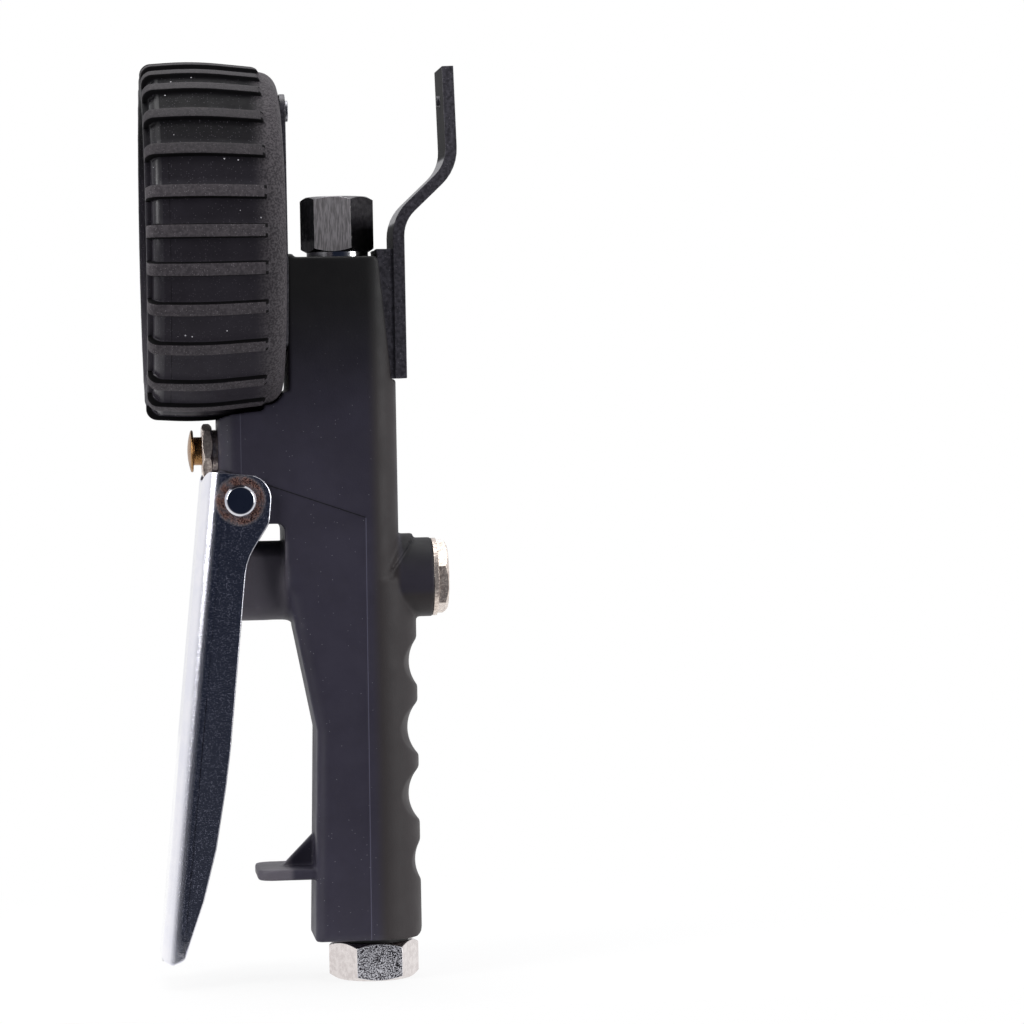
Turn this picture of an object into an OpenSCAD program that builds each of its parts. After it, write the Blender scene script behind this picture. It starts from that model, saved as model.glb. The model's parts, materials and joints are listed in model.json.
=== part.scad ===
// Hand-held air-line tyre inflator: a gun body with a squeeze lever, a dial gauge in a
// ribbed rubber boot, a bleed button and a hanging hook.
// +Z is up and -X is the front, where the lever and the dial are. The origin is the centre
// of the inlet nut's mouth. Sizes are in millimetres.

/* [Body] */
// Width across the body's flat sides
body_w = 26; // [24:0.5:30]
// Height of the grip, from its foot to the valve's axis
grip_h = 95.8; // [90:1:110]
// Reach of the grip's foot in front of the inlet's axis
foot_reach = 16.2; // [14:0.2:18]
// Reach of the grip's waist, the shallowest place of its front
waist_reach = 14.7; // [13.5:0.2:16.4]
// Height of the waist above the grip's foot
waist_h = 56; // [45:1:62]
// Reach of the shoulder under the nose
shoulder_reach = 22.3; // [20:0.1:24]
// Gap between the nose, where the bleed valve sits, and the lever's web
nose_clear = 3.5; // [2.8:0.1:4.5]
// Reach of the head's front face behind the gauge
head_reach = 20.5; // [18:0.1:21.5]
// Depth of the head behind the inlet's axis
head_back = 8.3; // [7.6:0.1:9]
// Corner radius of the grip's front edges
grip_corner_r = 3.5; // [2:0.5:3.5]
// Corner radius of the nose's front edges
nose_corner_r = 5; // [2:0.5:6]
// Corner radius of the head's rear edges
head_corner_r = 8; // [5:0.5:10]
// Rounding of the body's top and foot edges
edge_r = 1.6; // [0.8:0.2:2.4]
// Height of the lip in front of the top face
lip_h = 0.9; // [0.5:0.1:2]
// Thickness of that lip
lip_t = 1.7; // [1:0.1:3]

/* [Finger grooves] */
// Spacing of the finger grooves
groove_pitch = 17.7; // [15:0.1:19]
// Height of the lowest groove above the grip's foot
groove_first = 20.2; // [17:0.2:24]
// Radius of a groove
groove_r = 10.5; // [8:0.5:14]
// Depth of each groove, from the lowest up
groove_depths = [1.5, 2.9, 2.9, 2.2];
// Distance of the grooves' turning axis in front of the inlet's axis
groove_axis = 12; // [8:1:20]

/* [Valve barrel] */
// Diameter of the barrel that crosses the grip
barrel_d = 21.2; // [19:0.2:22]
// Gap between the barrel and the web of the squeezed lever
barrel_clear = 2.9; // [2:0.1:5]
// Reach of the barrel's rear end behind the inlet's axis
barrel_back = 17.3; // [16:0.1:20]
// Width across the flats on the barrel's front part
barrel_flats = 16.4; // [14.5:0.2:18]
// Radius by which the collar behind the head stands over the barrel
collar_h = 1.2; // [0.6:0.1:2]
// Rear end of the collar behind the inlet's axis
collar_back = 12.4; // [11:0.2:14]
// Diameter of the spring chamber
chamber_d = 14; // [13.6:0.1:15]
// Diameter of the bore for the stem gland
gland_d = 11; // [10:0.2:12]
// Diameter of the air passages
passage_d = 5; // [4:0.2:5.6]

/* [Lever rest] */
// Thickness of the rest at the foot of the grip
rest_t = 2.8; // [2:0.1:4]
// Gap between the rest and the web of the squeezed lever
rest_clear = 1.1; // [0.5:0.1:3]
// Width of the rest
rest_w = 22; // [16:0.5:24]
// Corner radius of the rest
rest_corner_r = 4; // [1:0.5:7]
// Height of the rest's top above the grip's foot
rest_up = 19.4; // [17:0.2:22]
// Height of the web above the rest
rest_web_h = 9; // [5:0.2:11]
// Thickness of that web
rest_web_t = 3.5; // [2:0.5:5]

/* [Lever] */
// Reach of the lever's pivot in front of the inlet's axis
pivot_reach = 34; // [33.6:0.1:34.3]
// Height of the pivot above the valve's axis
pivot_up = 21.8; // [21:0.1:23]
// Lean of the lever at rest, in degrees
lever_lean = 6; // [5.6:0.1:6.4]
// Swing of the lever when it is squeezed, in degrees
lever_swing = 12; // [8:0.5:12]
// Sheet thickness of the lever
lever_t = 1.5; // [1:0.1:1.8]
// Bend radius of the lever's outer edges
lever_bend_r = 6; // [3:0.1:6.5]
// Distance from the pivot to the outside of the lever's web
web_offset = 10.2; // [10:0.1:10.8]
// Length of the lever below the pivot
lever_l = 123.7; // [112:0.1:130]
// Height of the lever's top edge above the pivot
lever_top = 7; // [6.4:0.1:7.4]
// Reach of the ears behind the pivot
ear_reach = 8.2; // [7.6:0.1:8.6]
// Reach of the flanges behind the pivot, along the straight part
flange_reach = 3.1; // [1.5:0.1:4]
// Diameter of the lever's pin
pin_d = 5; // [4:0.1:6]
// Diameter of the pin's head
pin_head_d = 8.4; // [7.5:0.1:10]
// Thickness of the pin's head
pin_head_t = 1.3; // [0.8:0.1:2]

/* [Bleed valve] */
// Height of the bleed valve above the lever's pivot
bleed_up = 13; // [12:0.1:15]
// Width across the flats of its hexagon
bleed_af = 13; // [11.5:0.5:13]
// Thickness of its hexagon
bleed_hex_t = 2.8; // [2:0.1:3]
// Thickness of the neck behind the hexagon
bleed_neck_t = 1.4; // [1:0.1:2]
// Diameter of the bleed valve's shank
bleed_shank_d = 10; // [9:0.2:11]
// Diameter of the button's cap
button_cap_d = 11.2; // [9:0.2:12]
// Diameter of the button's stem
button_stem_d = 7.5; // [6:0.1:8]
// Travel of the button
button_travel = 1.9; // [1:0.1:2.2]

/* [Fittings] */
// Width across the flats of the inlet nut
inlet_af = 21; // [19:0.5:22]
// Height of the inlet nut
inlet_h = 10; // [8:0.2:12]
// Width across the flats of the outlet nut
outlet_af = 17; // [16:0.5:19]
// Height of the outlet nut
outlet_h = 14.7; // [12:0.1:18]
// Distance of the outlet's axis in front of the inlet's axis
outlet_reach = 6.2; // [5.8:0.1:7.4]
// Bore of the quarter-inch female threads
port_d = 11.8; // [11.4:0.05:12]
// Depth of the female threads
port_l = 12; // [10:0.5:13]
// Width of the inlet nut's seat around the shank that screws into the body
inlet_seat_w = 3; // [2:0.1:4]
// Depth of the inlet port in the body
inlet_shank_l = 11; // [9:0.5:13]
// Width of the outlet nut's seat around its shank
outlet_seat_w = 1; // [0.6:0.1:1.6]
// Depth of the outlet port in the body
outlet_shank_l = 9; // [7:0.5:11]
// Thickness of the seals under the nuts
seal_t = 1; // [0.6:0.1:1.5]
// Width across the flats of the rear plug
plug_af = 17.5; // [15:0.5:18]

/* [Gauge] */
// Gap between the boot and the bleed valve
boot_clear = 0.2; // [0.2:0.1:2]
// Thickness of the boot's wall between its ribs
boot_wall = 5; // [4:0.1:7]
// Thickness of the boot's floor behind the case
boot_floor_t = 2.6; // [2.2:0.1:4]
// Depth of the boot's rim in front of the bezel
boot_lip = 2.4; // [2:0.1:4]
// Width of the raised ring that joins the ribs' front ends
boot_ring_w = 4.8; // [3:0.1:6]
// Height of a rib
rib_h = 1.3; // [0.6:0.1:1.8]
// Width of a rib
rib_w = 3.2; // [2:0.1:4.5]
// Angles of one quarter's ribs from the horizontal
rib_angles = [6.3, 19, 32, 46, 62.5, 75, 90];
// Radius of the boot's front and rear edges
boot_edge_r = 4.5; // [3:0.5:6]
// Outer radius of the gauge's case
case_r = 40.8; // [38:0.2:45]
// Depth of the dial behind the case's front edge
dial_recess = 4.2; // [4:0.1:7]
// Wall of the case
case_t = 1.2; // [0.8:0.1:1.6]
// Thickness of the lens
lens_t = 2; // [1.5:0.1:3]
// Thickness of the dial
dial_t = 0.8; // [0.5:0.1:1.2]
// Length of the pointer in front of its shaft
pointer_l = 32; // [26:0.5:34]
// Distance of the gauge's stem below the dial's centre
stem_drop = 20.6; // [18:0.2:22]
// Diameter of the gauge's stem
stem_d = 9.7; // [8:0.1:11]
// Metal between the gauge's stem and the outlet port above it
stem_cover = 2; // [1.2:0.1:4]
// Thickness of the bracket behind the gauge
bracket_t = 1.5; // [1:0.1:2]
// Distance of the bracket's arms from the middle
arm_y = 16; // [13:0.5:18]
// Distance of the arms' screws inside the edge of the case
arm_inset = 4; // [3.2:0.1:5]

/* [Movement] */
// Pitch radius of the pinion
pinion_r = 2; // [1.8:0.1:2.2]
// Number of teeth of the pinion
pinion_teeth = 10; // [10:1:12]
// Pitch radius of the sector over that of the pinion
sector_ratio = 10; // [8:1:10]
// Swing of the pointer, in degrees
pointer_sweep = 270; // [240:5:270]
// Mean radius of the bourdon tube
bourdon_r = 31; // [28:0.5:34]
// Distance between the movement's plates
plate_gap = 6.4; // [6.2:0.1:10]
// Thickness of the block that carries the movement and the tube
block_t = 9; // [8.5:0.1:13]

/* [Hook] */
// Width of the hook's strap
strap_w = 20; // [16:0.5:22]
// Thickness of the strap
strap_t = 3.1; // [2:0.1:3.6]
// Rear face of the strap behind the inlet's axis
strap_back = 11; // [10.2:0.1:12]
// Offset of the hook's upper leg behind its lower leg
hook_throw = 14.5; // [10:0.5:20]
// Height of the hook above the body's top face
hook_rise = 50; // [44:0.5:60]
// Length of the strap's seat below the body's top face
hook_seat = 32.6; // [28:0.2:36]
// Lean of the body's seat for the hook, in degrees
seat_lean = 5.6; // [4:0.1:6.5]

/* [Hidden] */

$fn = 64;
// Radial clearance of parts that are screwed or pressed into bores
fit = 0.03;
// Radial clearance of parts that slide or turn in bores
run = 0.06;
// Clearance between moving parts
gap = 0.3;
// Overlap of cutting shapes past the faces they cut
over = 1;
// Largest angle of one straight piece of a rounded outline
arc_step = 9;
// Thickness of the bezel, of the movement's plates, and the space behind the dial
bezel_t = 1;
plate_t = 1.2;
dial_gap = 2.8;

// --- Body ---
half_w = body_w / 2;
// Turn of each hexagon about its own axis
inlet_turn = 4;
outlet_turn = -11.7;
plug_turn = 12;
foot_z = inlet_h + seal_t;
valve_z = foot_z + grip_h;
head_x = -head_reach;
outlet_x = -outlet_reach;
barrel_r = barrel_d / 2;
chamber_r = chamber_d / 2;
passage_r = passage_d / 2;
inlet_shank_r = inlet_af / 2 - inlet_seat_w;
outlet_shank_r = outlet_af / 2 - outlet_seat_w;
// Axis of the passage from the inlet to the valve
feed_x = 1;

// --- Lever ---
pivot_x = -pivot_reach;
pivot_z = valve_z + pivot_up;
nose_x = pivot_x - (web_offset - lever_t) + nose_clear;
// Metal of the nose under the pivot
nose_under = 6.4;
nose_under_z = pivot_z - nose_under;
lever_w = body_w + 2 * (gap + lever_t);
ear_face_y = lever_w / 2;
clip_t = 0.9;
pin_end_y = ear_face_y + gap + clip_t + 0.8;

// Inner face of the lever's web at height z, for a lean a
function web_x(a, z) = pivot_x - (web_offset - lever_t) / cos(a) - (pivot_z - z) * tan(a);

squeezed_lean = lever_lean - lever_swing;
rest_z = foot_z + rest_up;
rest_x = web_x(squeezed_lean, rest_z - rest_t) + rest_clear;

// --- Lever valve ---
// Travel of the push rod over the lever's swing
stroke = web_x(squeezed_lean, valve_z) - web_x(lever_lean, valve_z);
barrel_x = web_x(squeezed_lean, valve_z) + barrel_clear;
stem_rod_r = 2.5;
gland_l = 10.5;
flow_r = 5;
flow_front_x = -12;
seat_front_x = -3;
seat_t = 3;
seat_rim = 0.8;
seat_hole_r = 3.2;
pad_t = 1;
poppet_t = 2.5;
poppet_r = chamber_r - 1.5;
// Wall of the plug around the spring, and the spring's wire
plug_wall = 2.2;
spring_wire = 0.45;
spring_r = chamber_r - plug_wall - spring_wire - 2 * gap;
pad_x = seat_front_x + seat_t + seat_rim;
poppet_x = pad_x + pad_t;
plug_flange_t = 1.2;
plug_hex_t = 2.9;
plug_spigot_l = 5.5;
// Radius of the wire of the plug's O-ring, and its place on the spigot
ring_wire = 0.7;
ring_x = barrel_back - 2.4;
spring_end_x = barrel_back - 0.8;
stem_tip_x = web_x(lever_lean, valve_z) + gap;
gland_r = gland_d / 2;
seal_wire = (gland_r - stem_rod_r) / 2 - run;

// --- Bleed valve ---
bleed_z = pivot_z + bleed_up;
bleed_corner_r = bleed_af / sqrt(3);
bleed_turn = -16;
bleed_hex_x = nose_x - bleed_neck_t - bleed_hex_t;
notch_w = lever_w - 3.8;
notch_floor_w = 2 * (bleed_corner_r + 2 * gap);
notch_z = bleed_z - bleed_corner_r - 2 * gap;
bleed_shank_l = 11;
bleed_inner_x = nose_x + bleed_shank_l;
bleed_room = 6;
bleed_poppet_t = 2;
bleed_poppet_r = 3.4;
button_cap_t = 0.6;
button_back_x = bleed_hex_x - button_travel - gap;
button_stem_r = button_stem_d / 2;
button_rod_r = 1.2;
button_stem_end_x = nose_x + 0.2;
bleed_shelf_x = button_stem_end_x + 5;

// --- Gauge ---
boot_r = case_r + bezel_t + boot_wall + rib_h;
gauge_z = bleed_z + bleed_corner_r * cos(bleed_turn) + boot_clear + boot_r;
stem_r = stem_d / 2;
stem_z = gauge_z - stem_drop;
stem_seat_x = outlet_x - passage_r - 1;
top_z = stem_z + stem_r + stem_cover + outlet_shank_l;
boot_back_x = head_x - bracket_t;
boot_hole_r = stem_drop + 3.4;
rib_back_x = boot_back_x - 5.6;
bracket_screw_r = 1.5;
bracket_screw_l = 6;
bracket_head_r = 2.8;
bracket_screw_y = 8;
bracket_screw_z = top_z - 5;
gauge_screw_r = 1.5;
gauge_head_r = 2.8;
gauge_screw_z = gauge_z + sqrt(pow(case_r - arm_inset, 2) - pow(arm_y, 2));
case_back_x = boot_back_x - boot_floor_t;
socket_x = case_back_x - case_t;
block_x = socket_x - block_t;
back_plate_x = block_x - plate_t;
front_plate_x = back_plate_x - plate_gap - plate_t;
dial_x = front_plate_x - dial_gap - dial_t;
case_front_x = dial_x - dial_recess;
bezel_r = case_r + bezel_t;
bezel_overlap = 5;
gasket_t = 1;
lens_x = case_front_x - gasket_t - lens_t;
bezel_front_x = lens_x - bezel_t;
boot_front_x = bezel_front_x - boot_lip;
// Width of the bezel's rim in front of the lens
bezel_rim = 3.2;
window_r = case_r - bezel_rim;
boot_window_r = window_r + 1;
dial_r = case_r - case_t - 0.5;

// --- Hook ---
// Thickness of the block at the body's top face
block_top_t = 4.26;
seat_x_top = strap_back - strap_t - block_top_t;
hook_screw_r = 2;
hook_screw_l = 7;
hook_screw_pitch = 10;
hook_screw_top = top_z - outlet_shank_l - hook_screw_r - 2.5;
hook_screw_zs = [hook_screw_top - hook_screw_pitch, hook_screw_top];
hook_foot_z = top_z - hook_seat + 0.2;
strap_mid_x = strap_back - strap_t / 2;
hook_top_z = top_z + hook_rise;

// --- Movement ---
shaft_r = 0.9;
arbor_r = 1;
pointer_x = dial_x - 2.2;
pointer_t = 0.6;
// Angle of the pointer at zero, clockwise from the top
pointer_zero = -pointer_sweep / 2;
mesh_x = front_plate_x + plate_t + 1.4;
mesh_t = 1.2;
tooth_module = 2 * pinion_r / pinion_teeth;
sector_r = pinion_r * sector_ratio;
sector_teeth = pinion_teeth * sector_ratio;
sector_step = 360 / sector_teeth;
sector_swing = pointer_sweep / sector_ratio;
// The sector starts half its swing to one side, at a whole number of teeth
sector_start = round(sector_swing / 2 / sector_step) * sector_step;
centre_distance = pinion_r + sector_r + 0.08;
tail_l = 9;
link_pin_r = 0.7;
link_x = mesh_x + mesh_t + gap;
link_t = 0.6;
tail_pin = [0, -centre_distance] + tail_l * [cos(270 + sector_start), sin(270 + sector_start)];
// Spiral spring, its collet on the shaft and the stud that holds its outer end
hair_x = link_x + 2.2;
hair_w = 0.6;
hair_t = 0.2;
collet_r = 1.3;
hair_r = 4.5;
stud_r = 0.5;
// The bent tube's section lies flat, its wide side along X
tube_h = 2.2;
tube_w = 6;
tube_wall = 0.4;
tube_start = 5;
tube_sweep = 300;
tube_cap = 4;
tube_x = block_x + 1 + tube_w / 2;
tip_x = link_x + link_t + gap;
tip_angle = 270 + tube_start + tube_sweep + tube_cap / 2;
tip = (bourdon_r - 1.5) * [cos(tip_angle), sin(tip_angle)];
tip_r = 1.8;

// --- Outlines -----------------------------------------------------------------------------

function unit(v) = v / norm(v);

function turn(v, a) = [v.x * cos(a) - v.y * sin(a), v.x * sin(a) + v.y * cos(a)];

// Corner b between a and c, rounded to radius r
function corner(a, b, c, r) =
    let (
        u = unit(a - b),
        v = unit(c - b),
        half = acos(max(-1, min(1, u * v))) / 2,
        side = (u.x * v.y - u.y * v.x) > 0 ? -1 : 1,
        sweep = side * (180 - 2 * half),
        steps = max(1, ceil(abs(sweep) / arc_step)),
        centre = b + unit(u + v) * r / sin(half),
        first = b + u * r / tan(half)
    )
    [for (i = [0:steps]) centre + turn(first - centre, sweep * i / steps)];

// Closed outline through corner points [x, y, radius]
function rounded(pts) =
    let (n = len(pts))
    [for (i = [0:n - 1])
        let (
            a = pts[(i + n - 1) % n],
            b = pts[i],
            c = pts[(i + 1) % n]
        )
        each b[2] > 0
            ? corner([a.x, a.y], [b.x, b.y], [c.x, c.y], b[2])
            : [[b.x, b.y]]];

// One edge of a ribbon of thickness t that follows bend points [x, y, radius]
function ribbon_side(pts, t, s) =
    let (n = len(pts))
    [for (i = [0:n - 1])
        let (b = [pts[i].x, pts[i].y])
        each i == 0 || i == n - 1
            ? let (
                  j = i == 0 ? 1 : n - 2,
                  d = unit([pts[j].x, pts[j].y] - b) * (i == 0 ? 1 : -1)
              )
              [b + turn(d, 90) * s * t / 2]
            : let (
                  a = [pts[i - 1].x, pts[i - 1].y],
                  c = [pts[i + 1].x, pts[i + 1].y],
                  u = unit(a - b),
                  v = unit(c - b),
                  half = acos(u * v) / 2,
                  side = (u.x * v.y - u.y * v.x) > 0 ? -1 : 1,
                  sweep = side * (180 - 2 * half),
                  steps = max(1, ceil(abs(sweep) / arc_step)),
                  centre = b + unit(u + v) * pts[i][2] / sin(half),
                  out = unit(b + u * pts[i][2] / tan(half) - centre)
              )
              [for (k = [0:steps])
                  centre + turn(out, sweep * k / steps) * (pts[i][2] - side * s * t / 2)]];

function ribbon(pts, t) =
    let (
        left = ribbon_side(pts, t, 1),
        right = ribbon_side(pts, t, -1),
        n = len(right)
    )
    concat(left, [for (i = [n - 1:-1:0]) right[i]]);

// --- Placing ------------------------------------------------------------------------------

// Side outline in X and Z, spread to width w across Y
module across(w) {
    rotate([90, 0, 0]) linear_extrude(w, center = true) children();
}

// Front outline in Y and Z, spread from x0 to x1
module along(x0, x1) {
    translate([x0, 0, 0]) rotate([90, 0, 90]) linear_extrude(x1 - x0) children();
}

// Profile in radius and X, turned about the line at height z
module turned(z) {
    translate([0, 0, z]) rotate([0, 90, 0]) rotate_extrude() children();
}

// Round bar along X
module bar(x0, x1, r, z) {
    translate([x0, 0, z]) rotate([0, 90, 0]) cylinder(h = x1 - x0, r = r);
}

// Cone along X
module taper_bar(x0, x1, r0, r1, z) {
    translate([x0, 0, z]) rotate([0, 90, 0]) cylinder(h = x1 - x0, r1 = r0, r2 = r1);
}

module tube(h, r, inner) {
    difference() {
        cylinder(h = h, r = r);
        translate([0, 0, -over]) cylinder(h = h + 2 * over, r = inner);
    }
}

// Ring along X
module ring(x0, x1, r, inner, z) {
    translate([x0, 0, z]) rotate([0, 90, 0]) tube(x1 - x0, r, inner);
}

// Hexagonal prism with corners rounded off towards its ends as on a turned nut
module nut(h, af, low, high) {
    corner_r = af / sqrt(3);
    cut = corner_r - af / 2 * 0.97;
    intersection() {
        cylinder(h = h, r = corner_r, $fn = 6);
        rotate_extrude() polygon([
            [0, 0],
            [low ? corner_r - cut : corner_r, 0],
            [corner_r, low ? cut * 0.6 : 0],
            [corner_r, high ? h - cut * 0.6 : h],
            [high ? corner_r - cut : corner_r, h],
            [0, h]
        ]);
    }
}

// Round wire of radius wire wound on radius r, from z0 to z1
module coil(z0, z1, r, wire, turns) {
    sides = 6;
    per_turn = 14;
    rings = turns * per_turn;
    closed = 0.75;
    rise = z1 - z0 - 2 * wire;
    // The end turns lie flat and the turns between them climb
    function climb(t) = t < closed ? 0 : t > turns - closed ? 1 : (t - closed) / (turns - 2 * closed);
    pts = [for (i = [0:rings], j = [0:sides - 1])
        let (
            t = i / per_turn,
            a = 360 * t,
            b = 360 * j / sides,
            q = r + wire * cos(b)
        )
        [q * cos(a), q * sin(a), z0 + wire + rise * climb(t) + wire * sin(b)]];
    faces = concat(
        [[for (j = [0:sides - 1]) j]],
        [for (i = [0:rings - 1], j = [0:sides - 1])
            let (
                p = i * sides + j,
                q = i * sides + (j + 1) % sides
            )
            [p, p + sides, q + sides, q]],
        [[for (j = [sides - 1:-1:0]) rings * sides + j]]
    );
    polyhedron(points = pts, faces = faces, convexity = 10);
}

// --- Gun body -----------------------------------------------------------------------------

// Plan with two rounded corners in front, from x = 0 backwards
module round_front_plan(w, r, depth) {
    translate([0, r - w / 2]) square([depth, w - 2 * r]);
    translate([r, -w / 2]) square([depth - r, w]);
    for (s = [-1, 1]) translate([r, s * (w / 2 - r)]) circle(r);
}

// Column with rounded front edges whose front runs through p and q, both [x, z]
module front_column(p, q) {
    reach = 60;
    translate([p.x, 0, p.y])
        rotate([0, atan2(q.x - p.x, q.y - p.y), 0])
            translate([0, 0, -2 * reach])
                linear_extrude(5 * reach) round_front_plan(body_w, grip_corner_r, reach);
}

module grip_front() {
    foot = [-foot_reach, foot_z];
    waist = [-waist_reach, foot_z + waist_h];
    shoulder = [-shoulder_reach, valve_z];
    intersection() {
        front_column(shoulder, shoulder + [0, 10]);
        union() {
            front_column(foot, waist);
            front_column(waist, shoulder);
        }
    }
}

// Rear of the grip: half round, with the finger grooves turned into it
module grip_back() {
    reach = 60;
    intersection() {
        translate([0, 0, foot_z]) linear_extrude(grip_h) union() {
            circle(half_w);
            translate([-reach, -half_w]) square([reach, body_w]);
        }
        translate([-groove_axis, 0, 0]) {
            rotate_extrude() grooved_profile();
            translate([-reach, -reach, foot_z]) cube([reach, 2 * reach, grip_h]);
        }
    }
}

// Radius of the grip's back at each height, from the groove axis
module grooved_profile() {
    back = groove_axis + half_w;
    difference() {
        translate([0, foot_z - over]) square([back + 1, grip_h + 2 * over]);
        for (i = [0:len(groove_depths) - 1])
            translate([back + groove_r - groove_depths[i], foot_z + groove_first + i * groove_pitch])
                circle(groove_r);
    }
}

module grip_solid() {
    intersection() {
        grip_front();
        grip_back();
        across(4 * body_w) polygon(rounded([
            [-60, foot_z, 0],
            [half_w, foot_z, 3 * edge_r / 2],
            [half_w, valve_z, 0],
            [-60, valve_z, 0]
        ]));
        along(-60, 60) polygon(rounded([
            [-half_w, foot_z, edge_r],
            [half_w, foot_z, edge_r],
            [half_w, valve_z, 0],
            [-half_w, valve_z, 0]
        ]));
    }
}

// Face of the inclined seat for the hook at height z
function seat_x(z) = seat_x_top + (top_z - z) * tan(seat_lean);

module head_side() {
    seat_z = top_z - hook_seat;
    nose_top = gauge_z - boot_r + 8;
    polygon(rounded([
        [-shoulder_reach, valve_z - 2, 0],
        [-shoulder_reach, nose_under_z, 2],
        [nose_x, nose_under_z, 2.5],
        [nose_x, nose_top, 0],
        [head_x, nose_top, 0],
        [head_x, top_z + lip_h, 0.4],
        [head_x + lip_t, top_z + lip_h, 0.4],
        [head_x + lip_t, top_z, 0],
        [seat_x(top_z), top_z, edge_r],
        [seat_x(seat_z), seat_z, 0],
        [head_back, seat_z, 0.5],
        [head_back, valve_z - 2, 0]
    ]));
}

module head_solid() {
    intersection() {
        translate([0, 0, valve_z - 2]) linear_extrude(top_z - valve_z + 10) head_plan();
        across(2 * body_w) head_side();
        along(-60, 60) polygon(rounded([
            [-half_w, valve_z - 2, 0],
            [half_w, valve_z - 2, 0],
            [half_w, top_z + lip_h, edge_r],
            [-half_w, top_z + lip_h, edge_r]
        ]));
    }
}

// Plan of the head, with its own corner radius in front and behind
module head_plan() {
    difference() {
        translate([nose_x, -half_w]) square([head_back - nose_x, body_w]);
        for (s = [-1, 1]) {
            corner_cut(nose_x, s * half_w, 1, -s, nose_corner_r);
            corner_cut(head_back, s * half_w, -1, -s, head_corner_r);
        }
    }
}

// Cuts one corner of a plan to radius r; dx and dy point into the plan
module corner_cut(x, y, dx, dy, r) {
    difference() {
        translate([x + (dx > 0 ? -over : -r), y + (dy > 0 ? -over : -r)])
            square([r + over, r + over]);
        translate([x + dx * r, y + dy * r]) circle(r);
    }
}

// Barrel of the valve, with flats on its front part
module barrel() {
    intersection() {
        bar(barrel_x, 0, barrel_r, valve_z);
        translate([barrel_x - over, -barrel_flats / 2, valve_z - barrel_d])
            cube([2 * over - barrel_x, barrel_flats, 2 * barrel_d]);
    }
    bar(0, barrel_back, barrel_r, valve_z);
    intersection() {
        bar(0, collar_back, barrel_r + collar_h, valve_z);
        across(2 * body_w) polygon([
            [0, valve_z],
            [head_back - 2, valve_z + 3],
            [collar_back, valve_z + barrel_r + collar_h - 0.8],
            [collar_back, valve_z + 2 * barrel_r],
            [0, valve_z + 2 * barrel_r]
        ]);
    }
}

module lever_rest() {
    translate([rest_x, 0, rest_z - rest_t])
        linear_extrude(rest_t) round_front_plan(rest_w, rest_corner_r, -rest_x);
    across(rest_web_t) polygon([
        [-waist_reach + 2, rest_z - over],
        [-foot_reach - rest_web_h + 1, rest_z - over],
        [-foot_reach - rest_web_h + 1, rest_z],
        [-waist_reach - 0.6, rest_z + rest_web_h],
        [-waist_reach + 2, rest_z + rest_web_h]
    ]);
}

// Space that the gauge and its boot take out of the nose
module boot_space() {
    front = boot_front_x - over;
    turned(gauge_z) {
        polygon(boot_outline(boot_r - rib_h + gap, front, boot_back_x + gap));
        intersection() {
            polygon(boot_outline(boot_r + gap, front, boot_back_x + gap));
            translate([0, front]) square([2 * boot_r, rib_back_x + gap - front]);
        }
    }
}

module gun_ports() {
    // Inlet port and the passage from it to the valve
    translate([0, 0, foot_z - over]) cylinder(h = inlet_shank_l + over, r = inlet_shank_r);
    translate([feed_x, 0, foot_z]) cylinder(h = grip_h, r = passage_r);
    // Outlet port and the passage from the valve to it
    translate([outlet_x, 0, top_z - outlet_shank_l])
        cylinder(h = outlet_shank_l + over + lip_h, r = outlet_shank_r);
    translate([outlet_x, 0, valve_z])
        cylinder(h = top_z - valve_z - outlet_shank_l + over, r = passage_r);
    // Valve bores: spring chamber, flow chamber, stem guide and gland
    bar(seat_front_x, barrel_back + over, chamber_r, valve_z);
    bar(flow_front_x, seat_front_x + over, flow_r, valve_z);
    bar(barrel_x, flow_front_x + over, stem_rod_r + run, valve_z);
    bar(barrel_x - over, barrel_x + gland_l, gland_r, valve_z);
    // Gauge port
    bar(head_x - over, stem_seat_x, stem_r + fit, stem_z);
    bar(stem_seat_x - over, outlet_x, passage_r / 2, stem_z);
    // Bleed port
    bar(nose_x - over, bleed_inner_x, bleed_shank_d / 2, bleed_z);
    bar(bleed_inner_x - over, bleed_inner_x + bleed_room, bleed_poppet_r + 0.8, bleed_z);
    bar(bleed_inner_x, outlet_x, passage_r / 2, bleed_z);
    // Pivot pin
    translate([pivot_x, 0, pivot_z]) rotate([90, 0, 0])
        cylinder(h = 2 * body_w, r = pin_d / 2 + fit, center = true);
    // Screws of the hook and of the bracket
    for (z = hook_screw_zs)
        bar(seat_x(z) - hook_screw_l, strap_back, hook_screw_r + fit, z);
    for (s = [-1, 1]) translate([0, s * bracket_screw_y, 0])
        bar(head_x - over, head_x + bracket_screw_l, bracket_screw_r + fit, bracket_screw_z);
}

module gun_body() {
    color([0.13, 0.13, 0.15]) difference() {
        union() {
            grip_solid();
            head_solid();
            barrel();
            lever_rest();
        }
        boot_space();
        gun_ports();
    }
}

// --- Fittings -----------------------------------------------------------------------------

module inlet_fitting() {
    color([0.82, 0.82, 0.84]) difference() {
        union() {
            rotate(inlet_turn) nut(inlet_h, inlet_af, true, true);
            cylinder(h = foot_z + inlet_shank_l - gap, r = inlet_shank_r - fit);
        }
        translate([0, 0, -over]) cylinder(h = port_l + over, r = port_d / 2);
        cylinder(h = 2 * foot_z + inlet_shank_l, r = passage_r + 1);
    }
}

module inlet_seal() {
    color([0.08, 0.08, 0.08]) translate([0, 0, inlet_h])
        tube(seal_t, inlet_shank_r + 0.6 * inlet_seat_w, inlet_shank_r);
}

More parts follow.
